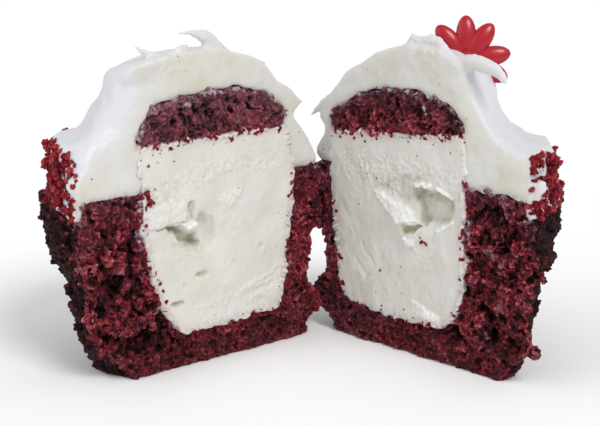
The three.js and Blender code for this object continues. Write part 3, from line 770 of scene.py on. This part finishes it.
# The cake is built up from crumbs over the solid's own form, then eaten into by pores. Sizes and
# reaches are in millimetres, crumbs are counted for each square millimetre.
cakeStyle = {
    "formVoxel": 0.8,
    "voxel": 0.29,
    "baseHeight": 0.4,  # the flat base stays flat up to here
    "roll": {"size": 5, "reach": 4.6, "detail": 3, "rough": 0.6},
    "rollMiddle": {"cup": 0.57, "lid": 0.52},
    "crack": {"size": 6.5, "depth": 2.4, "width": 0.05},
    "clump": {"size": 4.6, "reach": 3.6, "middle": 0.4},
    "grainPer": 1.0,
    "grainSize": (0.25, 0.65),
    "chunkPer": 0.22,
    "chunkSize": (0.8, 2.0),
    "relief": {"size": 1.1, "reach": 2.6, "detail": 3, "rough": 0.72},
    "pore": {"size": 1.9, "depth": 1.1, "from": 0.56, "to": 0.7},
    "hole": {"size": 4.2, "depth": 1.6, "from": 0.42, "to": 0.15},
    "crests": ((4, 0.34, 0.4), (20, 0.9, 0.4), (90, 2.4, 0.5)),
    "lidGrowth": 0.8,
    "lidForward": 0.45,
    "mostTriangles": 190000,
}


def coarseShare(half, points):
    share = np.zeros(len(points))
    for s, z, reachS, reachZ in half["coarse"]:
        away = ((points[:, 0] - s) / reachS) ** 2 + ((points[:, 2] - z) / reachZ) ** 2
        share = np.maximum(share, np.clip(1.6 - away, 0, 1))
    return share


def outwardOf(half, points, normals):
    return (points[:, 0] - half["holeCentre"]) * normals[:, 0] + points[:, 1] * normals[:, 1]


def growLid(half, points, normals, reach):  # the lid swells a little past its solid, but not down
    swell = np.where(normals[:, 2] > -0.4, reach, 0)
    points[:, 0] += normals[:, 0] * swell
    points[:, 2] += normals[:, 2] * swell * 1.2
    if half["lidNotch"]:  # a crease where frosting ran down into the lid
        at, width, depth = half["lidNotch"]
        dip = np.exp(-((points[:, 0] - at) / width) ** 2) * ramp(points[:, 2], 57, 60)
        points[:, 2] -= depth * dip


def settleCup(half, points, normals, front, side):
    s, n, z = points.T
    z += 0.5 * np.clip(normals[:, 2], 0, 1) * (z > 30)  # up into the frosting
    n -= 0.4 * front * ramp(z, 36, 40)
    for low, high, push in half["touch"]:  # where the halves lean on each other
        s += push * ramp(z, low, low + 2) * ramp(z, high, high - 2) * ramp(s, 26, 29) * ramp(n, 9, 5)
    flare = side * eased(z, 22, 31) * eased(z, 42, 39)  # wider under the frosting, round the back
    flare = flare * eased(s, -10, -18) * eased(n, 3, 9) * half["flare"]
    points[:, :2] += normals[:, :2] * flare[:, None]
    n -= 0.5 * front * ramp(z, 7, 2)


def makeCake(half, node, name, isLid):
    style = cakeStyle
    seed = half["seed"] * 11 + len(name)
    piece = copyNode(node, name)
    if not isLid:
        addLumps(half, piece, half["torn"], seed)
    remesh(piece, style["formVoxel"])
    smooth(piece, 2)
    mesh, points, normals = readHalf(half, piece)
    front = (normals[:, 1] < -0.6) & (points[:, 1] < 3.5)
    side = (outwardOf(half, points, normals) > 0) & (np.abs(normals[:, 2]) < 0.8) & ~front
    top = isLid & (normals[:, 2] > 0.3)
    seen = (front | side | top) & (points[:, 2] > style["baseHeight"])
    coarse = coarseShare(half, points) * (not isLid)
    if isLid:
        growLid(half, points, normals, style["lidGrowth"])
        points[:, 1] -= style["lidForward"] * front
    else:
        settleCup(half, points, normals, front, side)
    writeHalf(half, mesh, points)
    off = ramp(points[:, 2], style["baseHeight"], style["baseHeight"] + 2)
    writeMarks(
        mesh,
        roll=(0.45 + 0.35 * isLid + coarse) * off,
        crack=(0.2 + 0.9 * coarse + 0.5 * isLid) * front * off,
        clump=(0.12 + 0.9 * coarse * front + 0.2 * isLid + 0.3 * side) * off,
        fine=seen * np.where(front, 1.0, 0.5),
        rough=seen * (0.1 + 0.2 * isLid + 0.8 * coarse * front + 0.35 * side * ~top),
    )

    tree, body = makeTree("crumbing")
    roll = pushField(tree, seed, middle=style["rollMiddle"]["lid" if isLid else "cup"], **style["roll"])
    crack = style["crack"]
    split = pushField(tree, seed, crack["size"], 1, step=2, detail=1, folded=True)
    split = addNode(tree, "ShaderNodeMapRange", [split, 0, crack["width"] * mm, -crack["depth"] * mm, 0])
    clump = style["clump"]
    reach = clump["reach"] * mm
    heap = cellField(tree, seed + 6, clump["size"])
    heap = addNode(tree, "ShaderNodeMath", [heap, -reach, clump["middle"] * reach], operation="MULTIPLY_ADD")
    masks = {"roll": roll, "crack": split, "clump": heap}
    rolled = pushOut(tree, body, [masked(tree, field, mask) for mask, field in masks.items()])
    fine = scatter(tree, rolled, grains, "fine", style["grainPer"], style["grainSize"], 0.1, seed)
    clumps = scatter(tree, rolled, chunks, "rough", style["chunkPer"], style["chunkSize"], 0.5, seed + 5)
    runTree(piece, tree, rolled, fine, clumps)
    remesh(piece, style["voxel"])

    mesh, points, normals = readHalf(half, piece)
    outward = outwardOf(half, points, normals) > -2
    shown = (outward | (points[:, 1] < 1)) & (points[:, 2] > style["baseHeight"])
    deep = coarseShare(half, points) * (points[:, 1] < 6) * (not isLid)
    pore = style["pore"]
    hole = style["hole"]
    writeMarks(mesh, shown=shown, pored=shown * -pore["depth"] * mm, holed=shown * deep * -hole["depth"] * mm)
    tree, body = makeTree("pores")
    relief = pushField(tree, seed, **style["relief"])
    pored = patchField(tree, seed + 4, pore["size"], pore["from"], pore["to"])
    holed = cellField(tree, seed + 1, hole["size"])
    holed = addNode(tree, "ShaderNodeMapRange", [holed, hole["from"], hole["to"], 0, 1])
    masks = {"shown": relief, "pored": pored, "holed": holed}
    runTree(piece, tree, pushOut(tree, body, [masked(tree, field, mask) for mask, field in masks.items()]))
    markCrests(piece, style["crests"])
    s, n, z = readHalf(half, piece)[1].T
    hidden = ~shown | (z < 0.6) | ((n > 8) & (z < 36))
    thin(piece, hidden, style["mostTriangles"])

    mesh, points, normals = readHalf(half, piece)
    outward = outwardOf(half, points, normals) > -2
    s, n, z = points.T
    face = n < 3
    frosted = nearness(half, mesh, face, 1.2, "frosting")
    creamed = nearness(half, mesh, face, 1, "filling") * (not isLid)
    crown = nearness(half, mesh, face, 4, "frosting")
    # film spots hold cream smears on the walls and painted glints on the lids
    filmAndGlint = spotShare(points, half["filmAndGlint"]) * face
    if isLid:
        haze = half["lidHaze"] * (eased(z, 49, 56) * 0.8 + 0.2)
    else:
        haze = half["wallHaze"] * ramp(s, 12, 16)
    smear = np.maximum(np.maximum(frosted, creamed) * 0.75, filmAndGlint)
    crown = np.maximum(crown, filmAndGlint * 0.6)
    # crust mark: the outer sides' own crust colour, darkened further as painted shade
    writeMarks(mesh, crust=ramp(n, 1, 3) * outward, smear=smear, haze=haze * face, crown=crown)
    finishPiece(piece, sponge, node)


for half in halves:
    makeCake(half, "cake_cup_" + half["name"], "sponge_cup_" + half["name"], False)
    makeCake(half, "cake_lid_" + half["name"], "sponge_lid_" + half["name"], True)


# The filling is scraped by the knife, scooped and flaky in places, and ragged at its edge.
fillingStyle = {
    "voxel": 0.29,
    "relief": {
        "scraped": ({"size": 6, "reach": 0.8, "step": 2, "detail": 2},
                    {"size": 1.1, "reach": 0.35, "step": 7, "detail": 2, "rough": 0.6}),
        "flaky": ({"size": 2.4, "reach": 2.2, "step": 3, "detail": 4, "rough": 0.65},
                  {"size": 0.9, "reach": 1.6, "step": 9, "detail": 3, "rough": 0.7}),
        "edge": ({"size": 2.2, "reach": 3.4, "step": 4, "detail": 2, "rough": 0.6, "lift": 0.9},),
    },
    "mostTriangles": 160000,
}
strayStyle = {
    "crumbPer": 1.6,
    "crumbSize": (0.25, 0.75),
    "dustPer": 0.7,
    "dustSize": (0.12, 0.28),
    "voxel": 0.2,
    "relief": {None: ({"size": 0.7, "reach": 1.1, "step": 9, "detail": 2, "rough": 0.7},)},
}


def makeFilling(half):
    style = fillingStyle
    seed = half["seed"]
    node = "filling_" + half["name"]
    piece = copyNode(node, "ice_cream_" + half["name"])
    remesh(piece, style["voxel"])
    smooth(piece, 6)
    mesh, points, normals = readHalf(half, piece)
    face = ramp(points[:, 1], 2.5, 0.5)
    seen = wobbled(points, points[:, 1] < 3, 2.4, 0.7, seed)
    push = np.zeros(len(points))
    flaky = 0.8 * eased(insetOf(seen, half["flaky"]), -1.5, 1.5)
    olive = np.zeros(len(points))
    icy = 0.1 * flaky
    for outline, depth, wall, rough, shade, ice in half["scoops"]:
        inset = insetOf(seen, outline)
        inside = eased(inset / wall + 0.3)
        push += depth * eased(inset / wall)
        flaky = np.maximum(flaky, rough * inside)
        olive = np.clip(olive + shade * eased(inset, 0, 1.2), 0, 1)
        icy = np.maximum(icy, ice * inside)
    for s, z, reachS, reachZ, turn, depth in half["dents"]:
        c, w = math.cos(math.radians(turn)), math.sin(math.radians(turn))
        along = ((seen[:, 0] - s) * c + (seen[:, 2] - z) * w) / reachS
        across = (-(seen[:, 0] - s) * w + (seen[:, 2] - z) * c) / reachZ
        push += depth * np.exp(-(along ** 2 + across ** 2) ** 1.5)
    for line, width, depth in half["edges"]:
        away = np.min([toLine(seen, start, end) for start, end in zip(line, line[1:])], 0)
        push += depth * np.exp(-(away / width) ** 2)
    olive = np.maximum(olive, spotShare(seen, half["olive"]))
    points[:, 1] += push * face
    writeHalf(half, mesh, points)
    edge = (points[:, 1] < 4) & (np.abs(normals[:, 1]) < 0.8)
    writeMarks(mesh, olive=olive * face, icy=icy * face, scraped=face, flaky=flaky * face, edge=edge)
    roughen(piece, seed, style["relief"])
    markHollows(piece, 60, 1.1)
    thin(piece, readHalf(half, piece)[1][:, 1] > 4, style["mostTriangles"])
    mesh, points, _ = readHalf(half, piece)
    writeMarks(mesh, stain=nearness(half, mesh, points[:, 1] < 3, 1.2, "cake_cup", "cake_lid"))
    finishPiece(piece, iceCream, node)
    return piece


def makeStrays(half, filling):
    style = strayStyle
    seed = half["seed"]
    mesh, points, _ = readHalf(half, filling)
    face = points[:, 1] < 1.5
    lidEdge = nearness(half, mesh, face, 1, "cake_lid")
    lidFall = nearness(half, mesh, face, 3, "cake_lid")
    cupEdge = nearness(half, mesh, face, 0.8, "cake_cup")
    writeMarks(mesh, crumbed=np.maximum(lidEdge, cupEdge * 0.6), dusted=np.maximum(lidFall, cupEdge) * 0.5)
    piece = newPiece("stray_crumbs_" + half["name"], bmesh.new())
    tree = makeTree("strays")[0]
    ground = addNode(tree, "GeometryNodeObjectInfo", {"Object": filling}, out="Geometry")
    patches = patchField(tree, seed + 12, 3, 0.4, 0.65)
    crumbs = scatter(tree, ground, chunks, "crumbed", style["crumbPer"], style["crumbSize"], 0.1, seed + 31,
                     patches)
    dust = scatter(tree, ground, grains, "dusted", style["dustPer"], style["dustSize"], 0.0, seed + 37)
    runTree(piece, tree, crumbs, dust)
    remesh(piece, style["voxel"])
    roughen(piece, seed, style["relief"])
    markCrests(piece, ((4, 0.3, 1.0),))
    finishPiece(piece, looseCrumb)


for half in halves:
    half["iceCream"] = makeFilling(half)
    makeStrays(half, half["iceCream"])


# The frosting: a lofted cap, cut out round the cake and filling, with the knife's strokes added.
frostingStyle = {
    "formVoxel": 0.6,
    "voxel": 0.4,
    "levels": 60,
    "turns": 56,
    "rounding": 7,
    "ridgeRounds": 220,
    "rimInset": 2.2,
    "rimWander": 2.4,
    "cuts": {"cake_cup": (0.5, 2.2), "filling": (1.1, 0.6), "cake_lid": (0.3, 2.4)},  # bite, raggedness
    "lidGrowth": 0.7,
    "thinning": 0.55,
    "relief": {
        None: ({"size": 3.2, "reach": 0.7, "step": 5, "detail": 2},
               {"size": 1.2, "reach": 0.2, "step": 8, "detail": 2}),
        "skin": ({"size": 13, "reach": -2, "step": 4, "folded": True},),
        "torn": ({"size": 1.3, "reach": 2.2, "step": 9, "detail": 2, "rough": 0.6},),
    },
    "mostTriangles": 180000,
}


def curveSpan(x, steps, t):  # one span of a centripetal curve through four values
    a, b, c = steps
    start = ((x[1] - x[0]) / a - (x[2] - x[0]) / (a + b) + (x[2] - x[1]) / b) * b
    end = ((x[2] - x[1]) / b - (x[3] - x[1]) / (b + c) + (x[3] - x[2]) / c) * b
    return (x[1] + start * t + (-3 * x[1] + 3 * x[2] - 2 * start - end) * t * t
            + (2 * x[1] - 2 * x[2] + start + end) * t ** 3)


def profileAt(profile, level):
    place = min(level, 0.99999) * (len(profile) - 1)
    index = int(place)
    p = [Vector(profile[max(0, min(len(profile) - 1, k))]) for k in range(index - 1, index + 3)]
    if index == 0:
        p[0] = 2 * p[1] - p[2]
    if index == len(profile) - 2:
        p[3] = 2 * p[2] - p[1]
    steps = [max((p[k + 1] - p[k]).length, 1e-6) ** 0.5 for k in range(3)]
    return Vector([curveSpan([q[axis] for q in p], steps, place - index) for axis in range(3)])


def skinAt(half, level, angle):
    near = profileAt(half["near"], level)
    hinge = profileAt(half["hinge"], level)
    blend = hinge.lerp(near, (1 - math.cos(angle)) / 2)
    return blend.x + blend.z * max(math.sin(angle), 0) ** 0.9, blend.y


def loftCap(half, name):  # half a cylinder, spun, closed and drawn out to the profiles
    style = frostingStyle
    bm = bmesh.new()
    line = [bm.verts.new((1, 0, k / style["levels"])) for k in range(style["levels"] + 1)]
    rails = [bm.edges.new(pair) for pair in zip(line, line[1:])]
    bmesh.ops.spin(bm, geom=line + rails, cent=(0, 0, 0), axis=(0, 0, 1), angle=math.pi,
                   steps=style["turns"], use_merge=False)
    ends = [
        [v for v in bm.verts if abs(v.co.x - sign) < 1e-4 and abs(v.co.z - height) < 1e-4]
        for height in (0, 1) for sign in (1, -1)
    ]
    for a, b in (ends[0] + ends[1], ends[2] + ends[3]):
        bm.edges.new((a, b))
    bmesh.ops.holes_fill(bm, edges=[e for e in bm.edges if len(e.link_faces) < 2], sides=0)
    for vert in bm.verts:
        level = vert.co.z
        radius, height = skinAt(half, level, math.atan2(max(vert.co.y, 0), vert.co.x))
        wander = noise.noise(Vector((vert.co.x * 2.4, vert.co.y * 2.4, half["seed"])))
        height += style["rimWander"] * wander * min(max(vert.co.y, 0) * 2, 1) * max(1 - level / 0.12, 0)
        near = 0.5 - 0.5 * vert.co.x
        inset = min(max((0.42 - level) / 0.1, 0), 1) * min(level / 0.12, 1)
        radius -= style["rimInset"] * near * inset  # room for the crumbs that stick to the rim
        vert.co = (vert.co.x * radius, max(vert.co.y, 0) * radius, height)
    bmesh.ops.transform(bm, matrix=half["matrix"], verts=bm.verts)
    bmesh.ops.recalc_face_normals(bm, faces=bm.faces)
    return newPiece(name, bm)


def makeCutter(half, kind, bite, ragged):
    piece = copyNode(kind + "_" + half["name"], "cutter")
    remesh(piece, frostingStyle["formVoxel"])
    edge = {"size": 2.6, "reach": ragged, "step": 6, "detail": 2, "middle": 0.5 + bite / ragged}
    roughen(piece, half["seed"], {None: [edge]})
    mesh, points, normals = readHalf(half, piece)
    if kind == "cake_lid":
        growLid(half, points, normals, frostingStyle["lidGrowth"])
    points[:, 1] = np.where(points[:, 1] < 2.2, points[:, 1] - 8, points[:, 1])  # out past the cut
    if kind == "filling":  # reaches up into the lid, so no frosting runs between them
        points[:, 2] += 3 * ramp(points[:, 2], 48, 50)
    writeHalf(half, mesh, points)
    return piece


def addStroke(bm, half, path):
    draw = random.Random(len(path) * 7 + half["seed"])
    curve = [Vector(p) for p in path]
    beads = 9 * (len(curve) - 1)
    turn = Matrix.Rotation(math.radians(half["turn"]), 4, "Z")
    for k in range(beads + 1):
        place = k / beads * (len(curve) - 1)
        index = min(int(place), len(curve) - 2)
        bead = curve[index].lerp(curve[index + 1], place - index)
        radius = bead.w * draw.uniform(0.9, 1.1) * mm
        shape = turn @ Matrix.Diagonal((radius, radius * 0.7, radius, 1))
        bmesh.ops.create_icosphere(bm, subdivisions=2, radius=1,
                                   matrix=Matrix.Translation(half["matrix"] @ bead.to_3d()) @ shape)


def softenRidges(half, mesh):  # swirls fade towards the near end of the cut, where they were dragged
    points = toHalf(half, readPoints(mesh))
    push = np.zeros(len(points))
    for s, n, z, reach, depth in half["hollows"]:
        away = ((points - np.array((s, n, z))) ** 2).sum(1) / reach ** 2
        push -= depth * np.exp(-away)
    world = readPoints(mesh) + readNormals(mesh) * (push * mm)[:, None]
    points = toHalf(half, world)
    soft = toHalf(half, averaged(mesh, world, frostingStyle["ridgeRounds"]))
    reach, amount = half["softening"]
    s, n, z = points.T
    share = amount * np.exp(-(n / reach) ** 2) * ramp(s, -8, -14) * ramp(z, 46, 51) * ramp(z, 71, 68)
    writeHalf(half, mesh, points + (soft - points) * share[:, None])


def makeFrosting(half):
    style = frostingStyle
    name = half["name"]
    piece = loftCap(half, "frosting_cap_" + name)
    remesh(piece, style["formVoxel"])
    smooth(piece, style["rounding"])
    softenRidges(half, piece.data)
    for kind, (bite, ragged) in style["cuts"].items():
        cutter = makeCutter(half, kind, bite, ragged)
        cut = piece.modifiers.new("cut", "BOOLEAN")
        cut.operation = "DIFFERENCE"
        cut.solver = "MANIFOLD"
        cut.object = cutter
        bake(piece)
        bpy.data.objects.remove(cutter)
    bm = bmesh.new()
    bm.from_mesh(piece.data)
    for path in half["strokes"]:
        addStroke(bm, half, path)
    bm.to_mesh(piece.data)
    bm.free()
    remesh(piece, style["voxel"])
    smooth(piece, 4)
    mesh, points, _ = readHalf(half, piece)
    face = ramp(points[:, 1], 1.5, 0)
    edge = nearness(half, mesh, face > 0, 1.1, "cake_cup", "cake_lid")
    points[:, 1] += style["thinning"] * face * edge
    writeHalf(half, mesh, points)
    torn = np.zeros(len(points))
    for s, z, reach, share in half["ragged"]:
        torn += share * np.exp(-(((points[:, 0] - s) ** 2 + (points[:, 2] - z) ** 2) / reach ** 2) ** 3)
    writeMarks(mesh, torn=torn * (points[:, 1] < 5), skin=1 - face, cutFace=face)
    roughen(piece, half["seed"], style["relief"])
    markHollows(piece, 50, 1.1)
    thin(piece, (points[:, 1] > 4) & (points[:, 2] < 44), style["mostTriangles"])
    mesh, points, _ = readHalf(half, piece)
    writeMarks(mesh, stain=nearness(half, mesh, points[:, 1] < 2, 0.7, "cake_cup", "cake_lid"))
    finishPiece(piece, frostingCream, "frosting_" + name)
    return piece


# Crumbs of cake stuck to the rim of the frosting, packed close at the near end.
rimStyle = {
    "packedPer": 1.3,
    "packedSize": (0.35, 1.0),
    "loosePer": 0.35,
    "looseSize": (0.5, 1.5),
    "voxel": 0.25,
    "relief": {None: ({"size": 1.8, "reach": 2, "step": 10, "detail": 1},
                      {"size": 0.8, "reach": 2.2, "step": 9, "detail": 3, "rough": 0.75})},
    "settledFrom": -22,  # lumps nearer the rim than this are set on the frosting's surface
}


def makeRimCrumbs(half, frosting):
    style = rimStyle
    seed = half["seed"]
    mesh, points, normals = readHalf(half, frosting)
    s, n, z = points.T
    reach = np.hypot(s, n)
    out = (s * normals[:, 0] + n * normals[:, 1]) / reach
    band = ramp(out, 0.5, 0.8) * ramp(z, half["crumbTop"], half["crumbTop"] - 1.5)
    band *= (reach > half["rimFrom"]) * (n > 0.6) * ramp(s, 14, 8)
    nearEnd = eased(s, style["settledFrom"], style["settledFrom"] - 6)
    writeMarks(mesh, packed=band * nearEnd * half["rimShare"], loose=band * (1 - nearEnd))
    piece = newPiece("rim_crumbs_" + half["name"], bmesh.new())
    tree = makeTree("rim")[0]
    ground = addNode(tree, "GeometryNodeObjectInfo", {"Object": frosting}, out="Geometry")
    gaps = patchField(tree, seed + 13, 3.5, 0.38, 0.5)
    patches = patchField(tree, seed + 8, 7, 0.45, 0.6)
    packed = scatter(tree, ground, chunks, "packed", style["packedPer"], style["packedSize"], 0.1,
                     seed + 41, gaps)
    loose = scatter(tree, ground, chunks, "loose", style["loosePer"], style["looseSize"], 0.2,
                    seed + 47, patches)
    runTree(piece, tree, packed, loose)
    bm = bmesh.new()
    bm.from_mesh(mesh)
    skin = BVHTree.FromBMesh(bm)
    bm.free()
    lumps = []
    for s, n, z, radius in half["crumbs"]:
        spot, normal = skin.find_nearest(half["matrix"] @ Vector((s, n, z)))[:2]
        if s < style["settledFrom"]:
            s, n, z = half["inverse"] @ (spot + normal * radius * 0.3 * mm)
        lumps.append((s, n, z, radius))
    addLumps(half, piece, lumps, seed)
    remesh(piece, style["voxel"])
    roughen(piece, seed, style["relief"])
    markCrests(piece, ((5, 0.36, 0.8), (20, 1.0, 0.4)))
    finishPiece(piece, looseCrumb)


# Ground vanilla: about one speck to a square centimetre of the cut ice cream, fewer in the frosting.
speckStyle = {"size": (0.12, 0.26), "sink": 0.02, "fillingPer": 0.01, "frostingPer": 0.004}


def makeSpecks(half, grounds):
    piece = newPiece("vanilla_specks_" + half["name"], bmesh.new())
    tree = makeTree("specks")[0]
    parts = []
    for index, (ground, mask, per) in enumerate(grounds):
        surface = addNode(tree, "GeometryNodeObjectInfo", {"Object": ground}, out="Geometry")
        seed = half["seed"] + 51 + index
        specks = scatter(tree, surface, grains, mask, per, speckStyle["size"], speckStyle["sink"], seed)
        parts.append(specks)
    runTree(piece, tree, *parts)
    finishPiece(piece, vanillaSeed)


for half in halves:
    frosting = makeFrosting(half)
    makeRimCrumbs(half, frosting)
    makeSpecks(half, (
        (half["iceCream"], "scraped", speckStyle["fillingPer"]),
        (frosting, "cutFace", speckStyle["frostingPer"]),
    ))
for chunk in grains + chunks:
    bpy.data.objects.remove(chunk)


# The candy flower stands in the frosting of the right half: puffed petals round a small hub.
flower = {
    "petals": 9,
    "reach": 10.2,
    "width": 4.6,
    "depth": 2.6,
    "hub": 2.6,
    "nudges": {1: -4, 3: -6},  # degrees that single petals are pressed aside
    "at": (-6.1, 7.6, 70.2),
    "tilt": 14,
    "sunkBelow": 71,
    "sunkFrom": 2,
}


def shapePetal(vert):  # a ball drawn out to a blunt petal that narrows towards the hub
    along = vert.co.z * 0.5 + 0.5
    blunt = 1
    if abs(vert.co.z) < 0.999:
        blunt = (1 - abs(vert.co.z) ** 2.6) ** 0.5 / max((1 - vert.co.z ** 2) ** 0.5, 1e-3)
    narrow = (1 - 0.5 * (along - 0.45) ** 2) * min(blunt, 1.3) * (0.72 + 0.28 * min(along / 0.5, 1))
    width = flower["width"] / 2 * narrow
    depth = flower["depth"] / 2 * narrow
    vert.co = (vert.co.x * width, vert.co.y * depth, flower["reach"] * (0.08 + 0.92 * along))


def makeFlower():
    bm = bmesh.new()
    bmesh.ops.create_uvsphere(bm, u_segments=24, v_segments=12, radius=flower["hub"])
    bmesh.ops.scale(bm, vec=(1, 0.7, 1), verts=bm.verts)
    for k in range(flower["petals"]):
        made = bmesh.ops.create_uvsphere(bm, u_segments=28, v_segments=20, radius=1)["verts"]
        for vert in made:
            shapePetal(vert)
        angle = 360 / flower["petals"] * k + flower["nudges"].get(k, 0)
        turn = Matrix.Rotation(math.radians(angle), 4, "Y")
        bmesh.ops.transform(bm, matrix=turn, verts=made)
    place = Matrix.Translation(rightHalf["matrix"] @ Vector(flower["at"]))
    place = place @ Matrix.Rotation(math.radians(-flower["tilt"]), 4, "X") @ Matrix.Scale(mm, 4)
    bmesh.ops.transform(bm, matrix=place, verts=bm.verts)
    for vert in bm.verts:  # petals sunk in the frosting stay behind the cut
        spot = rightHalf["inverse"] @ vert.co
        if spot.z < flower["sunkBelow"]:
            spot.y = max(spot.y, flower["sunkFrom"])
            vert.co = rightHalf["matrix"] @ spot
    for face in bm.faces:
        face.smooth = True
    piece = newPiece("candy_flower", bm)
    finishPiece(piece, candy, "flower")


makeFlower()


# A pale paper floor in a soft white room, two broad suns, and the camera (millimetres, degrees).
studio = {"floor": 20, "paper": "#fbfbfb", "room": "#ffffff", "roomLight": 0.64}
suns = {
    "keyLight": {"from": (0.5, -0.75, 0.9), "angle": 22, "power": 1.5, "colour": "#ffffff"},
    "fillLight": {"from": (-0.9, -0.35, 0.5), "angle": 50, "power": 0.62, "colour": "#f4f8ff"},
}
view = {"target": (-0.53, 13.70, 30.1), "distance": 343, "down": 14.5, "lens": 84}


def makeStage():
    bm = bmesh.new()
    bmesh.ops.create_grid(bm, x_segments=1, y_segments=1, size=studio["floor"])
    floor = newPiece("studio_floor", bm)
    paper = {"Base Color": toLinear(studio["paper"]), "Roughness": 0.9}
    floor.data.materials.append(shaded(newMaterial("paleStudioPaper"), paper))
    world = bpy.data.worlds.new("softRoom")
    world.use_nodes = True
    background = world.node_tree.nodes["Background"]
    background.inputs["Color"].default_value = toLinear(studio["room"])
    background.inputs["Strength"].default_value = studio["roomLight"]
    bpy.context.scene.world = world


def addSun(name, sun):
    data = bpy.data.lights.new(name, "SUN")
    data.angle = math.radians(sun["angle"])
    data.energy = sun["power"]
    data.color = toLinear(sun["colour"])[:3]
    light = bpy.data.objects.new(name, data)
    light.rotation_euler = Vector(sun["from"]).to_track_quat("Z", "Y").to_euler()
    bpy.context.scene.collection.objects.link(light)


def addCamera():
    down = math.radians(view["down"])
    data = bpy.data.cameras.new("camera")
    data.lens = view["lens"]
    data.clip_start = 0.01
    camera = bpy.data.objects.new("camera", data)
    back = Vector((0, -math.cos(down), math.sin(down))) * view["distance"]
    camera.location = (Vector(view["target"]) + back) * mm
    camera.rotation_euler = (math.radians(90) - down, 0, 0)
    bpy.context.scene.collection.objects.link(camera)
    bpy.context.scene.camera = camera


makeStage()
for name, sun in suns.items():
    addSun(name, sun)
addCamera()
bpy.context.scene.view_settings.view_transform = "Standard"

print("scene ready")
